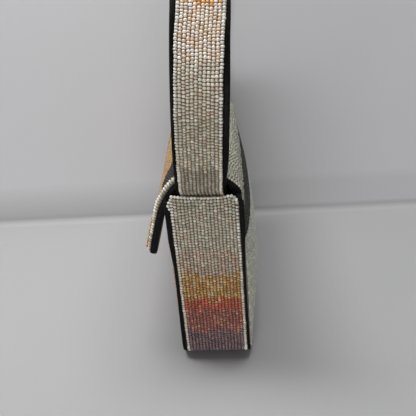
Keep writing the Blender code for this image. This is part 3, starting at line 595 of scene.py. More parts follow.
# Bead colours as they would be in plain light: red, green, blue and how many of it there are
mixes = {
    "white": ((0.78, 0.75, 0.68, 5), (0.66, 0.63, 0.54, 4), (0.55, 0.53, 0.46, 1)),
    "ivory": ((0.54, 0.50, 0.39, 6), (0.46, 0.44, 0.34, 5), (0.63, 0.59, 0.48, 4), (0.50, 0.41, 0.30, 3),
              (0.42, 0.42, 0.33, 2), (0.54, 0.41, 0.33, 1)),
    "blush": ((0.55, 0.42, 0.32, 6), (0.58, 0.48, 0.38, 4), (0.47, 0.34, 0.26, 4), (0.42, 0.38, 0.29, 2),
              (0.52, 0.30, 0.24, 1)),
    "mustard": ((0.52, 0.28, 0.06, 6), (0.42, 0.20, 0.04, 4), (0.60, 0.38, 0.12, 3), (0.56, 0.44, 0.28, 2),
                (0.50, 0.17, 0.06, 1)),
    "rust": ((0.49, 0.085, 0.03, 6), (0.40, 0.06, 0.025, 4), (0.56, 0.17, 0.07, 2), (0.52, 0.28, 0.12, 0.5)),
    "rose": ((0.33, 0.085, 0.065, 6), (0.26, 0.065, 0.055, 4), (0.40, 0.16, 0.12, 2), (0.44, 0.23, 0.10, 0.6)),
    "dusk": ((0.155, 0.088, 0.112, 6), (0.12, 0.070, 0.100, 4), (0.21, 0.125, 0.135, 2), (0.27, 0.13, 0.09, 0.5)),
    # shaded is ivory painted darker as shade, for the strap's roots
    "taupe": ((0.29, 0.255, 0.195, 6), (0.25, 0.23, 0.175, 5), (0.36, 0.32, 0.25, 4), (0.27, 0.215, 0.155, 3)),
    "cream": ((0.68, 0.63, 0.52, 6), (0.60, 0.56, 0.45, 5), (0.76, 0.71, 0.61, 4), (0.60, 0.49, 0.38, 2)),
    "peach": ((0.77, 0.60, 0.46, 6), (0.78, 0.65, 0.52, 6), (0.74, 0.55, 0.38, 4), (0.78, 0.68, 0.62, 4),
              (0.80, 0.75, 0.67, 2)),
    "amber": ((0.72, 0.36, 0.09, 6), (0.64, 0.27, 0.06, 4), (0.76, 0.48, 0.20, 3), (0.78, 0.60, 0.40, 1)),
    "olive": ((0.40, 0.34, 0.06, 6), (0.50, 0.42, 0.10, 3), (0.30, 0.27, 0.06, 3)),
    "sage": ((0.44, 0.44, 0.34, 6), (0.35, 0.375, 0.29, 5), (0.52, 0.51, 0.41, 4), (0.39, 0.36, 0.26, 2)),
    "mist": ((0.62, 0.64, 0.54, 6), (0.53, 0.56, 0.46, 5), (0.70, 0.70, 0.60, 4), (0.55, 0.53, 0.42, 2)),
    "ochre": ((0.42, 0.26, 0.075, 6), (0.36, 0.24, 0.05, 4), (0.46, 0.33, 0.13, 3), (0.50, 0.20, 0.06, 1)),
    "coal": ((0.009, 0.009, 0.010, 6), (0.020, 0.020, 0.021, 3)),
}


# One colour for each bead: drawn from its mix by the weights, then a little lighter or darker.
def beadColours(which):
    colours = np.zeros((len(which), 3))
    for name, mix in mixes.items():
        found, mix = which == name, np.array(mix)
        colours[found] = mix[dice.choice(len(mix), found.sum(), p=mix[:, 3] / mix[:, 3].sum()), :3]
    return np.clip(colours * dice.normal(1, 0.09, (len(which), 1)), 0, 0.85)


# Bands from the top: each starts below its height, its border moved by whole beads from column to column.
def bandMix(height, column, bands, ragged):
    which = np.full(len(height), bands[0][0], "U8")
    for name, border in bands[1:]:
        shift = ragged * dice.integers(-1, 2, column.max() + 1)[column]
        which[height < border + shift] = name
    return which


# Columns and rows of beads over a rectangle, as flat arrays: column, its place, the bead's place and length along
# it, and row. Beads differ in length, so rows don't stay in line, and the columns sway together a little.
def beadGrid(columns, first, last, row=bead["row"], uneven=0.14):
    rows = int(round((last - first) / row))
    column, step = grid(np.arange(columns), np.arange(rows))
    lengths = 1 + uneven * np.clip(dice.normal(size=(columns, rows)), -1.8, 1.8)
    lengths *= (last - first) / lengths.sum(axis=1, keepdims=True)
    v = first + np.cumsum(lengths, axis=1) - lengths / 2
    sway = np.sin(v / 0.0095 + 0.4) * np.sin(v / 0.0042 + 1.9) * np.clip((v - first) / 0.006, 0, 1)
    u = (column - (columns - 1) / 2) * bead["pitch"] + 0.00013 * sway
    return [a.ravel() for a in (column, u, v, lengths * bead["length"] / bead["row"], step)]


# Whether a bead and its margin lie inside a rectangle with round lower corners: u from its middle line.
def insideCorners(u, down, half, length, corner, margin=0.0008):
    overU = np.clip(np.abs(u) + margin - (half - corner), 0, None)
    overV = np.clip(down + margin - (length - corner), 0, None)
    return np.hypot(overU, overV) <= corner


def beadSize(lengths):
    return lengths, bead["width"], bead["depth"]


# Sews a face's beads in pieces: the glass ones left and right of its middle, and the black ones.
def sewFace(name, blackName, place, u, v, level, shape, long, which, rides, slotName, replaced):
    colours = beadColours(which)
    black = which == "coal"
    parts = {"beads_left": ~black & (u < 0), "beads_right": ~black & (u >= 0), blackName: black}
    for end, part in parts.items():
        if part.any():
            places, size = (u[part], v[part], level[part]), beadSize(long[part])
            finish = jet if end == blackName else glass
            obj = repeatedPiece(f"{name}_{end}", place, *places, shape, size, finish, colours[part])
            dress(obj, rides, slotName, replaced)


sunset = [("ivory", 1.0), ("blush", 0.091), ("mustard", 0.071), ("rust", 0.0525), ("rose", 0.0432), ("dusk", 0.0245)]

# Both ends of the bag, with a roll of beads on the top edge whose last few hang over the front corner. The
# mustard band's top border turns down in a vee.
gusset = {
    "columns": 19, "first": 0.0004, "last": 0.1352, "ragged": 0.0015, "vee": 0.005, "veeFrom": 0.062, "veeTo": 0.080,
    "whiteFrom": 0.085, "hemFace": 0.09915, "rollBead": (0.0020, 0.0020, 0.0018), "rollStep": 0.00206,
    "rollWhite": 0.6, "besideHem": 0.0004, "veeInside": 0.25,
    "tail": ((-0.0209, 0.1284), (-0.0222, 0.1270), (-0.0224, 0.1250), (-0.0216, 0.1232), (-0.0212, 0.1222)),
    "tailBead": (0.00185, 0.0020, 0.0018), "tailStep": 0.0019, "tailLevel": 0.0019, "tailLoose": 0.2,
}


# The upright plane of the hem: y and height z, level outwards.
def hemPlace(side, y, z, level):
    return leaned(side * (gusset["hemFace"] + level), y, z)


for side, word in ends:
    place = partial(gussetPlace, side)
    column, u, v, long, _ = beadGrid(gusset["columns"], gusset["first"], gusset["last"])
    under = place(u, v, 0)[:, 2] + long / 2 < hemHeight(u) - hemCurl(u + gusset["besideHem"]) + hem["above"]
    column, u, v, long = (a[under] for a in (column, u, v, long))
    level = -bead["depth"] / 2
    height = place(u, v, level)[:, 2]
    vee = gusset["vee"] * np.clip(np.abs(u) / body["gussetHalf"] - gusset["veeInside"], 0, 1)
    vee *= (height > gusset["veeFrom"]) & (height < gusset["veeTo"])
    which = bandMix(height - vee, column, sunset, gusset["ragged"])
    outer = (column == 0) | (column == gusset["columns"] - 1)
    which[outer] = np.where(height[outer] > gusset["whiteFrom"], "white", "cream")
    obj = repeatedPiece(f"gusset_beads_{word}", place, u, v, level, fineBead, beadSize(long), glass, beadColours(which))
    dress(obj, "bag", "gusset_beads", f"gusset_beading_{word}")

    place = partial(hemPlace, side)
    across = np.linspace(-1, 1, 200)
    across = (body["gussetHalf"] - hem["inset"]) * np.sign(across) * (1 - (1 - np.abs(across)) ** 1.6)
    hemLine = np.stack([across, hemHeight(across) - hemCurl(across) + hem["above"]], -1)
    found = evenPlaces(place, hemLine, 0.0, gusset["rollStep"])
    colours = beadColours(np.where(dice.random(len(found[0])) < gusset["rollWhite"], "white", "ivory"))
    obj = threadedPiece(f"gusset_roll_{word}", place, found, 0.0, gusset["rollBead"], colours)
    dress(obj, "bag", "gusset_beads", f"gusset_hem_{word}")

    level, size, loose = (gusset[name] for name in ("tailLevel", "tailBead", "tailLoose"))
    found = evenPlaces(place, np.array(gusset["tail"]), level, gusset["tailStep"])
    colours = beadColours(np.full(len(found[0]), "white"))
    obj = threadedPiece(f"gusset_tail_{word}", place, found, level, size, colours, loose)
    dress(obj, "bag", "gusset_beads")
print("gusset beads sewn")

# The strap: ivory painted darker as shade near the roots, then ivory and cream at both hips, peach and then amber
# towards the crown. Its gaps have more painted shade near the roots and almost none towards the crown.
strapBeads = {
    "columns": 12, "row": 0.0019, "end": 0.0002, "top": 0.0039, "ragged": 0.0021, "whiteFrom": 0.045,
    "bands": [("amber", 1.0), ("peach", 0.1236), ("cream", 0.0935), ("ivory", 0.062), ("taupe", 0.030)],
    "paintedShadeAt": [0.02, 0.07, 0.10], "paintedShade": [1.5, 0.9, 0.05],
}
end = strapBeads["end"]
column, u, v, long, _ = beadGrid(strapBeads["columns"], end, strapLength - end, strapBeads["row"])
near = np.minimum(v, strapLength - v)
which = bandMix(near, column, strapBeads["bands"], strapBeads["ragged"])
outer = (column == 0) | (column == strapBeads["columns"] - 1)
which[outer] = np.where(near[outer] > strapBeads["whiteFrom"], "white", "cream")
colours = beadColours(which)
level = strapBeads["top"] - bead["depth"] / 2
# Painted shade in the gaps: strong near the roots, less on the hips, almost none towards the crown
paintedShade = np.interp(near, strapBeads["paintedShadeAt"], strapBeads["paintedShade"])
for word, half in (("right", v < strapLength / 2), ("left", v >= strapLength / 2)):
    obj = repeatedPiece(
        f"strap_beads_{word}", strapPlace, u[half], v[half], level, fineBead, beadSize(long[half]), glass,
        colours[half], paintedShade=paintedShade[half],
    )
    dress(obj, "strap", "strap_beads", "strap_beading")
print("strap beads sewn")

# Front and back walls: columns run from the top edge down, and stop at the round bottom corners. The back wall
# is grey-green, with a black stripe under its top edge. The beads sink a little beside the gussets.
walls = {
    "front": {"side": -1, "top": body["frontTop"], "swell": 0.004, "shape": hiddenBead, "sunk": 0.0012,
              "bands": sunset, "border": "white"},
    "back": {"side": 1, "top": body["backTop"], "swell": 0.010, "shape": plainBead, "sunk": 0.0006,
             "bands": [("sage", 1.0), ("mist", 0.100)], "border": "mist"},
}
wallBeads = {
    "columns": 84, "first": 0.0034, "end": 0.0002, "ragged": 0.0021, "half": 0.0973, "low": 0.0032, "corner": 0.0093,
    "stripeFrom": 0.099, "stripeTo": 0.118, "sinksFrom": 0.083, "sinksOver": 0.0125,
}
for word, wall in walls.items():
    wall["place"] = partial(wallPlace, wall["side"], wall["top"], wall["swell"])
    found = beadGrid(wallBeads["columns"], wallBeads["first"], wall["top"] - wallBeads["end"])
    inside = insideCorners(found[1], -found[2], wallBeads["half"], -wallBeads["low"], wallBeads["corner"])
    column, u, v, long, row = (a[inside] for a in found)
    which = bandMix(v, column, wall["bands"], wallBeads["ragged"])
    border = (column == 0) | (column == wallBeads["columns"] - 1) | (row == row.max()) | (row == row.min())
    which[border] = wall["border"]
    if word == "back":
        which[(v > wallBeads["stripeFrom"]) & (v < wallBeads["stripeTo"])] = "coal"
    sink = np.clip((np.abs(u) - wallBeads["sinksFrom"]) / wallBeads["sinksOver"], 0, 1) ** 2
    level = body["beadOuter"] - bead["depth"] / 2 - wall["sunk"] * sink
    sewFace(
        word, "stripe", wall["place"], u, v, level, wall["shape"], long, which, "bag", f"{word}_beads",
        f"{word}_beading",
    )
print("wall beads sewn")

# The flap: rows follow its dip, by (down / dipsBy) squared times (1 - share across squared). It has a grey-green
# crown, warm bands, a black patch at both ends where the crown turns down, and light beads along its ends.
flapBeads = {
    "columns": 76, "end": 0.0003, "top": 0.0014, "ragged": 0.0021, "dipsBy": 0.1117,
    "bands": [("sage", 1.0), ("ochre", 0.066), ("mustard", 0.040), ("rust", 0.031), ("amber", 0.025),
              ("olive", 0.0165), ("rust", 0.0075)],
    "patchFrom": 0.046, "patchOver": 0.022, "patchTop": 0.040, "patchLow": 0.052, "patchDeeper": 0.015,
    "lightFrom": 0.045, "lightTo": 0.070,
}
found = beadGrid(flapBeads["columns"], flapBeads["end"], flap["length"] - flapBeads["end"])
inside = insideCorners(found[1], found[2], flap["half"], flap["length"], flap["corner"])
column, u, v, long, row = (a[inside] for a in found)
which = bandMix(flap["length"] - v, column, flapBeads["bands"], flapBeads["ragged"])
patch = np.clip((np.abs(u) - flapBeads["patchFrom"]) / flapBeads["patchOver"], 0, 1)
patchLow = flapBeads["patchLow"] + flapBeads["patchDeeper"] * patch**2 * (3 - 2 * patch)
which[(v > flapBeads["patchTop"]) & (v < patchLow) & (patch > 0)] = "coal"
fromEdge = np.minimum(column, flapBeads["columns"] - 1 - column)
light = (fromEdge < 2) & (v > flapBeads["lightFrom"]) & (v < flapBeads["lightTo"])
light |= (fromEdge == 0) & (v >= flapBeads["lightTo"]) | (row == row.max())
which[light] = "white"
lower = v + flap["dip"] * (v / flapBeads["dipsBy"]) ** 2 * (1 - (u / flap["half"]) ** 2)
level = np.full(len(u), flapBeads["top"] - bead["depth"] / 2)
sewFace("flap", "patches", flapPlace, u, lower, level, plainBead, long, which, "flap", "front_beads", "flap_beading")

# Its border: one line of beads round both ends and the lower edge, flush and grey-green on the crown, then
# larger, cream and proud of the leather, and finer again lower down
border = {
    "outline": (0.0890, 0.1066, 0.0036), "white": 0.8, "sageTo": 0.040, "at": [0.034, 0.046, 0.068, 0.086],
    "level": [0.0003, 0.0020, 0.0020, 0.0008], "wide": [0.0019, 0.0036, 0.0036, 0.0025],
}
line = hangingLine(*border["outline"], flap["dip"], 90)
found = evenPlaces(flapPlace, line[:, :2], border["level"][0], bead["row"])
down = found[1]
which = np.where(dice.random(len(down)) < border["white"], "white", "ivory")
which[down < border["sageTo"]] = "sage"
level, wide = (np.interp(down, border["at"], border[name]) for name in ("level", "wide"))
obj = threadedPiece("flap_border", flapPlace, found, level, (bead["length"], wide, wide), beadColours(which))
dress(obj, "flap", "front_beads")

# Inside the border's lower part, a raised line in the colours of the bands
rim = {
    "outline": (0.0866, 0.1043, 0.0020), "from": 0.080, "level": 0.0021, "wide": 0.0021, "ragged": 0.001,
    "bands": [("ochre", 0.0), ("mustard", -0.086), ("olive", -0.090), ("rust", -0.099)],
}
line = hangingLine(*rim["outline"], flap["dip"], 90)
line = line[line[:, 1] > rim["from"]]
found = evenPlaces(flapPlace, line[:, :2], rim["level"], bead["row"])
colours = beadColours(bandMix(-found[1], np.arange(len(found[1])), rim["bands"], rim["ragged"]))
size = (bead["length"], rim["wide"], rim["wide"])
obj = threadedPiece("flap_rim", flapPlace, found, rim["level"], size, colours)
dress(obj, "flap", "front_beads")
print("flap beads sewn")

# Leather edges of the two walls. Their thickness changes with the height.
wallEdge = {
    "outline": (body["halfLength"], 0.1268, body["corner"]), "top": 0.1273, "width": 0.0020,
    "front": ([0, 0.017, 0.035, 0.060, 0.078, 0.098, 0.130], [0.0027, 0.0027, 0.0025, 0.0020, 0.0019, 0.0032, 0.0032]),
    "back": ([0, 0.010, 0.070, 0.092, 0.104, 0.130], [0.0017, 0.0016, 0.0016, 0.0020, 0.0030, 0.0031]),
}
edgeLine = hangingLine(*wallEdge["outline"])


# An edge on a wall: a step along the outline, across it inwards, and a level as a share of its thickness.
def edgePlace(side, thickness, step, across, level):
    x, down, outX, outDown = (edgeLine[step, i] for i in range(4))
    z = wallEdge["top"] - down + outDown * across
    return leaned(x - outX * across, side * (body["boardInner"] + level * np.interp(z, *thickness)), z)


for word, side in (("front", -1), ("back", 1)):
    place = partial(edgePlace, side, wallEdge[word])
    obj = rollPiece(f"{word}_edge", place, len(edgeLine), wallEdge["width"], 0.0, 1.0, leather)
    dress(obj, "bag", "black_leather", f"{word}_edge_binding")

# A short roll of leather over each end of the back wall's top edge, beside the flap
tip = {"x": np.linspace(0.0909, 0.0981, 12), "y": 0.0206, "width": 0.0036, "low": 0.1268, "high": 0.1286}


# A straight roll: x at each step, y across it, level as height.
def tipPlace(side, step, across, level):
    return leaned(side * tip["x"][step], tip["y"] + across, level)


for side, word in ends:
    place = partial(tipPlace, side)
    obj = rollPiece(f"back_tip_{word}", place, len(tip["x"]), tip["width"], tip["low"], tip["high"], leather)
    dress(obj, "bag", "black_leather")

# The flap's leather edge, and a thin brown piping inside it, where the suede begins
flapEdge = {"outline": (*flap["edge"], 0.005), "width": 0.0020, "low": -0.0046, "high": 0.0, "square": 0.85}
flapPiping = {"outline": (0.0888, 0.1073, 0.0036), "width": 0.0009, "low": -0.0050, "high": -0.0042, "sides": 8}


# An edge on the flap: a step along its outline and a distance inwards, at a level above the flap's face.
def flapEdgePlace(line, step, across, level):
    x, down, outX, outDown = (line[step, i] for i in range(4))
    return flapPlace(x - outX * across, down - outDown * across, level)


def flapRoll(name, edge, material, **form):
    line = hangingLine(*edge["outline"], flap["dip"], 90)
    place = partial(flapEdgePlace, line)
    return rollPiece(name, place, len(line), edge["width"], edge["low"], edge["high"], material, **form)


obj = flapRoll("flap_edge", flapEdge, leather, square=flapEdge["square"])
dress(obj, "flap", "black_leather", "flap_edge_binding")
obj = flapRoll("flap_piping", flapPiping, piping, sides=flapPiping["sides"])
dress(obj, "flap", "black_suede")

# The two leather edges of the strap
strapEdge = {"from": 0.0160, "width": 0.0022, "half": 0.0020, "along": np.linspace(0, strapLength, 320)}


# An edge on the strap: it starts from one side, runs across towards the middle, and is wider where the form says.
def strapEdgePlace(side, name, step, across, level):
    along = strapEdge["along"][step]
    wider = strapValue(along, name) * (1 - across / strapEdge["width"])
    return strapPlace(side * (strapEdge["from"] - across + wider), along, level)


for word, side in (("front", -1), ("back", 1)):
    place, half = partial(strapEdgePlace, side, word + "Wide"), strapEdge["half"]
    steps = len(strapEdge["along"])
    obj = rollPiece(f"strap_edge_roll_{word}", place, steps, strapEdge["width"], -half, half, leather, sides=24)
    dress(obj, "strap", "black_leather", f"strap_edge_{word}")

# Leather over the front wall's top edge
mouth = {"x": np.linspace(-0.0964, 0.0964, 60), "low": 0.0003, "high": 0.0023}


# A straight roll: x at each step, distance inwards from the beads' face, level as height.
def mouthPlace(step, across, level):
    return leaned(mouth["x"][step], across - body["beadOuter"], level)


width, top = body["beadOuter"] - body["liningInner"], body["frontTop"]
obj = rollPiece("mouth_roll", mouthPlace, len(mouth["x"]), width, top + mouth["low"], top + mouth["high"], leather)
dress(obj, "bag", "black_leather", "mouth_binding")
print("leather edges bound")

# Layers of the strap: leather and a ground cloth under the beads, suede inside with a stitched line each side
strapLayer = {
    "half": 0.0135, "groundHalf": 0.0134, "end": 0.0003, "leather": (0.0011, 0.0019), "ground": (0.0018, 0.0022),
    "suede": (0.0011, 0.0020), "stitchAt": 0.0118, "stitchEnd": 0.002, "stitchLevel": 0.00205,
}
half, groundHalf, end = (strapLayer[name] for name in ("half", "groundHalf", "end"))
strapInside = partial(inwards, strapPlace, 0.0)
y, along = grid(edged(-half, half, 12), edged(0, strapLength, 260))
obj = sheetPiece("strap_leather", strapPlace, y, along, *strapLayer["leather"], leather, 0.0004)
dressSheet(obj, (2 * half, strapLength), ["strap_core"], "strap", "black_leather", "strap_facing")
groundY, groundAlong = grid(edged(-groundHalf, groundHalf, 8), edged(end, strapLength - end, 240))
obj = sheetPiece("strap_ground", strapPlace, groundY, groundAlong, *strapLayer["ground"], ground, 0.0003)
dressSheet(obj, (2 * groundHalf, strapLength - 2 * end), ["strap_leather"], "strap", "strap_beads")
obj = sheetPiece("strap_suede", strapInside, y, along, *strapLayer["suede"], suede, 0.0005, 0.00004)
dressSheet(obj, (2 * half, strapLength), ["strap_core"], "strap", "black_suede", "strap_lining")
along = np.linspace(strapLayer["stitchEnd"], strapLength - strapLayer["stitchEnd"], 300)
lines = [np.stack([np.full(300, side * strapLayer["stitchAt"]), along], -1) for side in (-1, 1)]
dress(stitchPiece("strap_stitches", strapInside, lines, strapLayer["stitchLevel"]), "strap", "black_suede")


# Suede lining of the flap, with a stitched line round its edge: a share of the width, which narrows at the round
# lower corners, and the distance down, which dips in the middle.
def flapInside(share, down, level):
    over = np.clip(down - (flap["length"] - flap["corner"]), 0, None)
    width = flap["half"] - flap["corner"] + np.sqrt(np.clip(flap["corner"] ** 2 - over**2, 0, None))
    return flapPlace(share * width, down + flap["dip"] * (down / flap["length"]) ** 2 * (1 - share**2), -level)


flapLining = {"levels": (0.0036, 0.0046), "stitchLine": (0.0862, 0.1047, 0.0030), "stitchLevel": 0.00465}
share, down = grid(edged(-1, 1, 40, 0.006), edged(0, flap["length"], 60))
obj = sheetPiece("flap_suede", flapInside, share, down, *flapLining["levels"], suede, ripple=0.00004)
flat = (2 * flap["half"], flap["length"] + 0.65 * flap["dip"])
dressSheet(obj, flat, ["flap_core"], "flap", "black_suede", "flap_lining")
line = hangingLine(*flapLining["stitchLine"], flap["dip"], 90)
place = partial(inwards, flapPlace, 0.0)
obj = stitchPiece("flap_stitches", place, [line[:, :2]], flapLining["stitchLevel"])
dress(obj, "flap", "black_suede")
print("strap and flap lined")

# Linings of the walls: cloth to the round bottom corners. Levels are counted inwards from far, outside the walls.
wallLining = {"half": 0.0964, "low": 0.0041, "corner": 0.0084, "thick": 0.001, "far": 0.04}
for word, wall in walls.items():
    half, corner, top = wallLining["half"], wallLining["corner"], wall["top"]
    length = float(top - wallLining["low"])
    share, down = grid(edged(-1, 1, 60, 0.006), edged(0, length, 44))
    over = np.clip(down - (length - corner), 0, None)
    x = share * (half - corner + np.sqrt(np.clip(corner**2 - over**2, 0, None)))
    high = wallLining["far"] - body["liningInner"]
    place = partial(inwards, wall["place"], wallLining["far"])
    obj = sheetPiece(f"{word}_cloth", place, x, top - down, high - wallLining["thick"], high, lining, 0.0006, 0.00005)
    dressSheet(obj, (2 * half, length), [f"{word}_board"], "bag", "lining_cloth", f"{word}_lining")


# The gusset's lining: a U down the left end, over the base board and up the right end, as points and directions
# out, and the distance along it.
def uLine(half, low, radius, top):
    turn = np.linspace(0, math.pi / 2, 8)
    c, s = np.cos(turn), np.sin(turn)
    corner = np.stack([half - radius + radius * s, low + radius - radius * c, s, -c], -1)
    up = np.linspace(low + radius, top, 40)[1:]
    side = np.vstack([corner, straightSide(half, up)])
    bottom = np.linspace(-(half - radius), half - radius, 60)[1:-1]
    bottom = np.stack([bottom, np.full_like(bottom, low), 0 * bottom, -np.ones_like(bottom)], -1)
    line = np.vstack([mirrored(side), bottom, side])
    return line, np.r_[0, np.cumsum(np.hypot(*np.diff(line[:, :2], axis=0).T))]


gussetLining = {"half": 0.02025, "line": (0.0891, 0.0069, 0.0017, 0.1243), "levels": (-0.0010, 0.0)}
uShape, uAlong = uLine(*gussetLining["line"])
uLength = float(uAlong[-1])


# The U: y across it, distance along it, level inwards.
def gussetInside(y, along, level):
    x, z, outX, outZ = (np.interp(along, uAlong, uShape[:, i]) for i in range(4))
    return leaned(x - outX * level, y, z - outZ * level)


half = gussetLining["half"]
y, along = grid(edged(-half, half, 14), np.sort(np.r_[uAlong, edged(0, uLength, 8)]))
obj = sheetPiece("gusset_cloth", gussetInside, y, along, *gussetLining["levels"], lining, ripple=0.00003)
dressSheet(obj, (2 * half, uLength), ["gusset_band", "base_board"], "bag", "lining_cloth", "gusset_lining")

# The flat pocket on the back lining, with a folded hem at its mouth
pocket = {
    "half": 0.045, "low": 0.0373, "high": 0.0973, "face": 0.01825, "thick": 0.001, "sewnHalf": 0.043,
    "sewnLow": 0.0393, "sewnHigh": 0.0965, "hemHalf": 0.042, "hemAt": 0.0923, "flat": (0.090, 0.060),
}
half, low, high = (pocket[name] for name in ("half", "low", "high"))
face = wallLining["far"] - pocket["face"]
place = partial(inwards, walls["back"]["place"], wallLining["far"])
x, z = grid(edged(-half, half, 30, 0.0008), edged(low, high, 30, 0.0008))
obj = sheetPiece("pocket_cloth", place, x, z, face - pocket["thick"], face, lining, 0.0007, 0.00008)
dressSheet(obj, pocket["flat"], ["back_cloth"], "bag", "lining_cloth", "slip_pocket")
half, low, high = (pocket[name] for name in ("sewnHalf", "sewnLow", "sewnHigh"))
sewn = np.array([[-half, high], [-half, low], [half, low], [half, high]])
lines = [np.linspace(a, b, 40) for a, b in zip(sewn, sewn[1:])]
lines.append(np.linspace([-pocket["hemHalf"], pocket["hemAt"]], [pocket["hemHalf"], pocket["hemAt"]], 40))
dress(stitchPiece("pocket_stitches", place, lines, face + 0.00005), "bag", "lining_cloth")

# The tape behind the fold runs on from the back wall into the flap, bent round the fold
fold = {
    "half": 0.0885, "level": 0.01875, "flapLevel": -0.0051, "thick": 0.0008,
    "heights": np.linspace(0.1123, 0.1270, 12), "downs": np.linspace(0.0012, 0.009, 10),
}
turnsAt = len(fold["heights"])
steps = np.arange(turnsAt + len(fold["downs"]))


# x along the bag and a step: the first ones climb the back wall's inner face, the others run down the flap's.
def foldPlace(x, step, level):
    height = np.interp(step, steps[:turnsAt], fold["heights"])
    down = np.interp(step, steps[turnsAt:], fold["downs"])
    onWall = walls["back"]["place"](x, height, fold["level"] - level)
    onFlap = flapPlace(x, down, fold["flapLevel"] - level)
    return np.where((step < turnsAt)[..., None], onWall, onFlap)


x, step = grid(edged(-fold["half"], fold["half"], 50), steps)
obj = sheetPiece("fold_cloth", foldPlace, x, step, -fold["thick"] / 2, fold["thick"] / 2, tape, 0.0004)
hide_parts("fold_tape")
spine = foldPlace(0.0 * steps, steps, 0.0 * steps)
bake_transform(obj)

# The leather panel that the bag stands on
base = {"half": 0.0877, "halfWide": 0.02185, "thick": 0.0017}


# A flat panel: x and y, level downwards from its top face.
def basePlace(x, y, level):
    return leaned(x, y, base["thick"] - level)


half, halfWide = base["half"], base["halfWide"]
x, y = grid(edged(-half, half, 60, 0.0008), edged(-halfWide, halfWide, 20, 0.0008))
obj = sheetPiece("base_leather", basePlace, x, y, 0.0, base["thick"], leather, 0.0008)
dressSheet(obj, (2 * half, 2 * halfWide), ["gusset_band"], "bag", "black_leather", "base_panel")
print("linings laid")

# Pads behind the strap's roots: leather with a round hole for the rivet
pad = {
    "inner": 0.0935, "outer": 0.0961, "y": -0.0012, "z": 0.118, "hole": 0.0023, "half": 0.014, "up": 0.0045,
    "down": 0.014,
}


# A pad's place is a turn round the hole and a share of the way from it to the pad's square outline.
def padPlace(side, turn, share, level):
    tall = np.where(np.sin(turn) > 0, pad["up"], pad["down"]) / np.maximum(np.abs(np.sin(turn)), 1e-6)
    reach = np.minimum(pad["half"] / np.maximum(np.abs(np.cos(turn)), 1e-6), tall)
    far = pad["hole"] + share * (reach - pad["hole"])
    return leaned(side * (pad["inner"] + level), pad["y"] + far * np.cos(turn), pad["z"] + far * np.sin(turn))


corners = np.arctan2([pad["up"]] * 2 + [-pad["down"]] * 2, [pad["half"], -pad["half"]] * 2)
turn = np.sort(np.r_[np.linspace(-math.pi, math.pi, 48, endpoint=False), corners])
ring = np.linspace(0, 1, 7)
ring = np.r_[ring, ring[::-1]]
level = np.repeat([pad["outer"] - pad["inner"], 0.0], 7)
for side, word in ends:
    points = padPlace(side, turn[:, None], ring, level)
    obj = newPiece(f"root_pad_{word}", points, [gridQuads(len(turn), len(ring), True, True)], leather, 50)
    dress(obj, "bag", "black_leather", f"anchor_pad_{word}")

# CAD nodes whose shape is right, with finer finishes
finishes = {
    "gusset_band": canvas, "front_board": canvas, "back_board": greyCanvas, "flap_core": greyCanvas,
    "strap_core": canvas, "base_board": canvas, "flap_magnet": steel, "front_magnet": steel,
    "anchor_rivet_right": brass, "anchor_rivet_left": brass,
}
for name, finish in finishes.items():
    for slot in nodes[name].material_slots:
        slot.material = finish
print("CAD nodes finished")

# Stage: a floor, and a pale wall close behind with painted shade towards its foot, less so on its back half
# low is the grey of the painted shade at the wall's foot
stage = {
    "near": (-0.1083, -0.2348), "far": (-0.1345, 0.2178), "fillet": 0.006, "wide": 2.0, "tall": 1.6, "floorHalf": 3.0,
    "under": 0.0002, "low": (0.405, 0.405, 0.405), "floor": (0.51, 0.51, 0.51), "wall": (0.67, 0.67, 0.685),
}


# Painted card with faint clouds. Seen from behind it is clear where that is asked for.
def stageMaterial(name, colour, oneSided):
    newMaterial(name, Roughness=0.85, Specular_IOR_Level=0.08)
    _, y, z = addNode("ShaderNodeSeparateXYZ", {0: bench["coords"]}).outputs
    # Painted shade: the colour turns to the low grey towards the wall's foot, less so on its back half
    share = maths("MAXIMUM", ranged(z, 0.002, 0.045, 0.1, 1), ranged(y, -0.05, 0.05, 0, 0.8))
    tone = mixColours(maths("MULTIPLY", share, ranged(z, 0.003, 0.010)), stage["low"], colour)
    cloud = ranged(noise(2.2), 0.3, 0.7, 0, 0.15)
    if oneSided:
        tree, front = bench["tree"], bench["shader"].outputs[0]
        behind = addNode("ShaderNodeNewGeometry").outputs["Backfacing"]
        clear = addNode("ShaderNodeBsdfTransparent").outputs[0]
        hidden = addNode("ShaderNodeMixShader", {0: behind, 1: front, 2: clear}).outputs[0]
        tree.links.new(hidden, tree.nodes["Material Output"].inputs["Surface"])
    return finished(mixColours(cloud, tone, [c * 0.8 for c in colour]))


x, y = grid([-stage["floorHalf"], stage["floorHalf"]], [-stage["floorHalf"], stage["floorHalf"]])
points = np.stack([x, y, 0 * x - stage["under"]], -1)
floor = newPiece("floor", points, [np.array([[0, 2, 3, 1]])], stageMaterial("paleFloor", stage["floor"], False))
near, far = np.array(stage["near"]), np.array(stage["far"])
line = unit(far - near)
outward = np.array([line[1], -line[0]])  # towards the camera
turn = np.linspace(0, math.pi / 2, 12)
profile = stage["fillet"] * np.stack([1 - np.sin(turn), 1 - np.cos(turn)], -1)
profile = np.vstack([profile, [0, stage["tall"]]])
points = np.zeros((2, len(profile), 3))
reach = np.array([-stage["wide"], stage["wide"]])[:, None, None]
points[..., :2] = (near + far) / 2 + line * reach + outward * profile[:, :1]
points[..., 2] = profile[:, 1] - stage["under"]
backdrop = newPiece("backdrop", points, [gridQuads(2, len(profile))], stageMaterial("paleWall", stage["wall"], True))
backdrop.visible_shadow = False
if backdrop.data.polygons[-1].normal.x < 0:
    backdrop.data.flip_normals()
print("stage set")


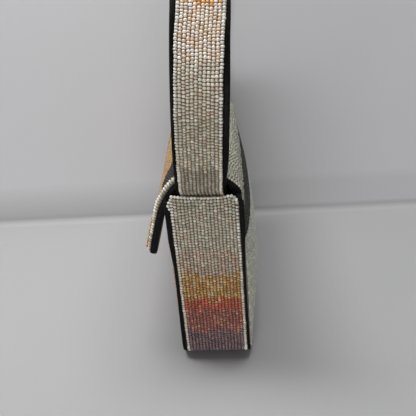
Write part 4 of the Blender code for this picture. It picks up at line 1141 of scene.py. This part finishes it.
# Puts an object at a place, turned by its right, up and back directions.
def putAt(obj, right, up, back, place):
    obj.matrix_world = Matrix([[right[i], up[i], back[i], place[i]] for i in range(3)] + [[0, 0, 0, 1]])
    bpy.context.scene.collection.objects.link(obj)


# Light: a long soft lamp overhead and to the front, a faint one on the camera's side, and an even grey sky
lamps = {
    "overhead": {"place": (0.0, -0.16, 0.92), "aim": (0.0, 0.0, 0.1), "power": 8.8, "wide": 0.8, "deep": 0.2},
    "fill": {"place": (0.95, -0.18, 0.12), "aim": (0.05, 0.0, 0.20), "power": 3.7, "wide": 0.8, "deep": 0.2},
}
for name, lamp in lamps.items():
    data = bpy.data.lights.new(name, "AREA")
    data.energy, data.shape = lamp["power"], "RECTANGLE"
    data.size, data.size_y = lamp["deep"], lamp["wide"]
    back = unit(np.array(lamp["place"]) - np.array(lamp["aim"]))
    right = unit(np.cross([0.0, 1.0, 0.001], back))
    putAt(bpy.data.objects.new(name, data), right, np.cross(back, right), back, lamp["place"])
world = bpy.data.worlds.new("studio")
bpy.context.scene.world = world
world.use_nodes = True
sky = world.node_tree.nodes["Background"].inputs
sky[0].default_value, sky[1].default_value = (0.95, 0.97, 1.0, 1), 0.11

# Camera: fitted to the edges of the gusset in the photograph
eye = {"place": (0.4066, 0.0055, 0.2815), "yaw": 0.0300, "down": 0.477, "roll": -0.0349, "lens": 47.6}
flatAway = math.cos(eye["down"])
back = np.array([flatAway * math.cos(eye["yaw"]), flatAway * math.sin(eye["yaw"]), math.sin(eye["down"])])
level = unit(np.cross(-back, [0, 0, 1.0]))
above = np.cross(level, -back)
right = level * math.cos(eye["roll"]) + above * math.sin(eye["roll"])
up = above * math.cos(eye["roll"]) - level * math.sin(eye["roll"])
camera = bpy.data.objects.new("camera", bpy.data.cameras.new("camera"))
camera.data.lens, camera.data.sensor_width = eye["lens"], 36.0
camera.data.clip_start = 0.01
putAt(camera, right, up, back, eye["place"])
bpy.context.scene.camera = camera
bpy.context.scene.view_settings.view_transform = "Standard"
print("camera and light set")
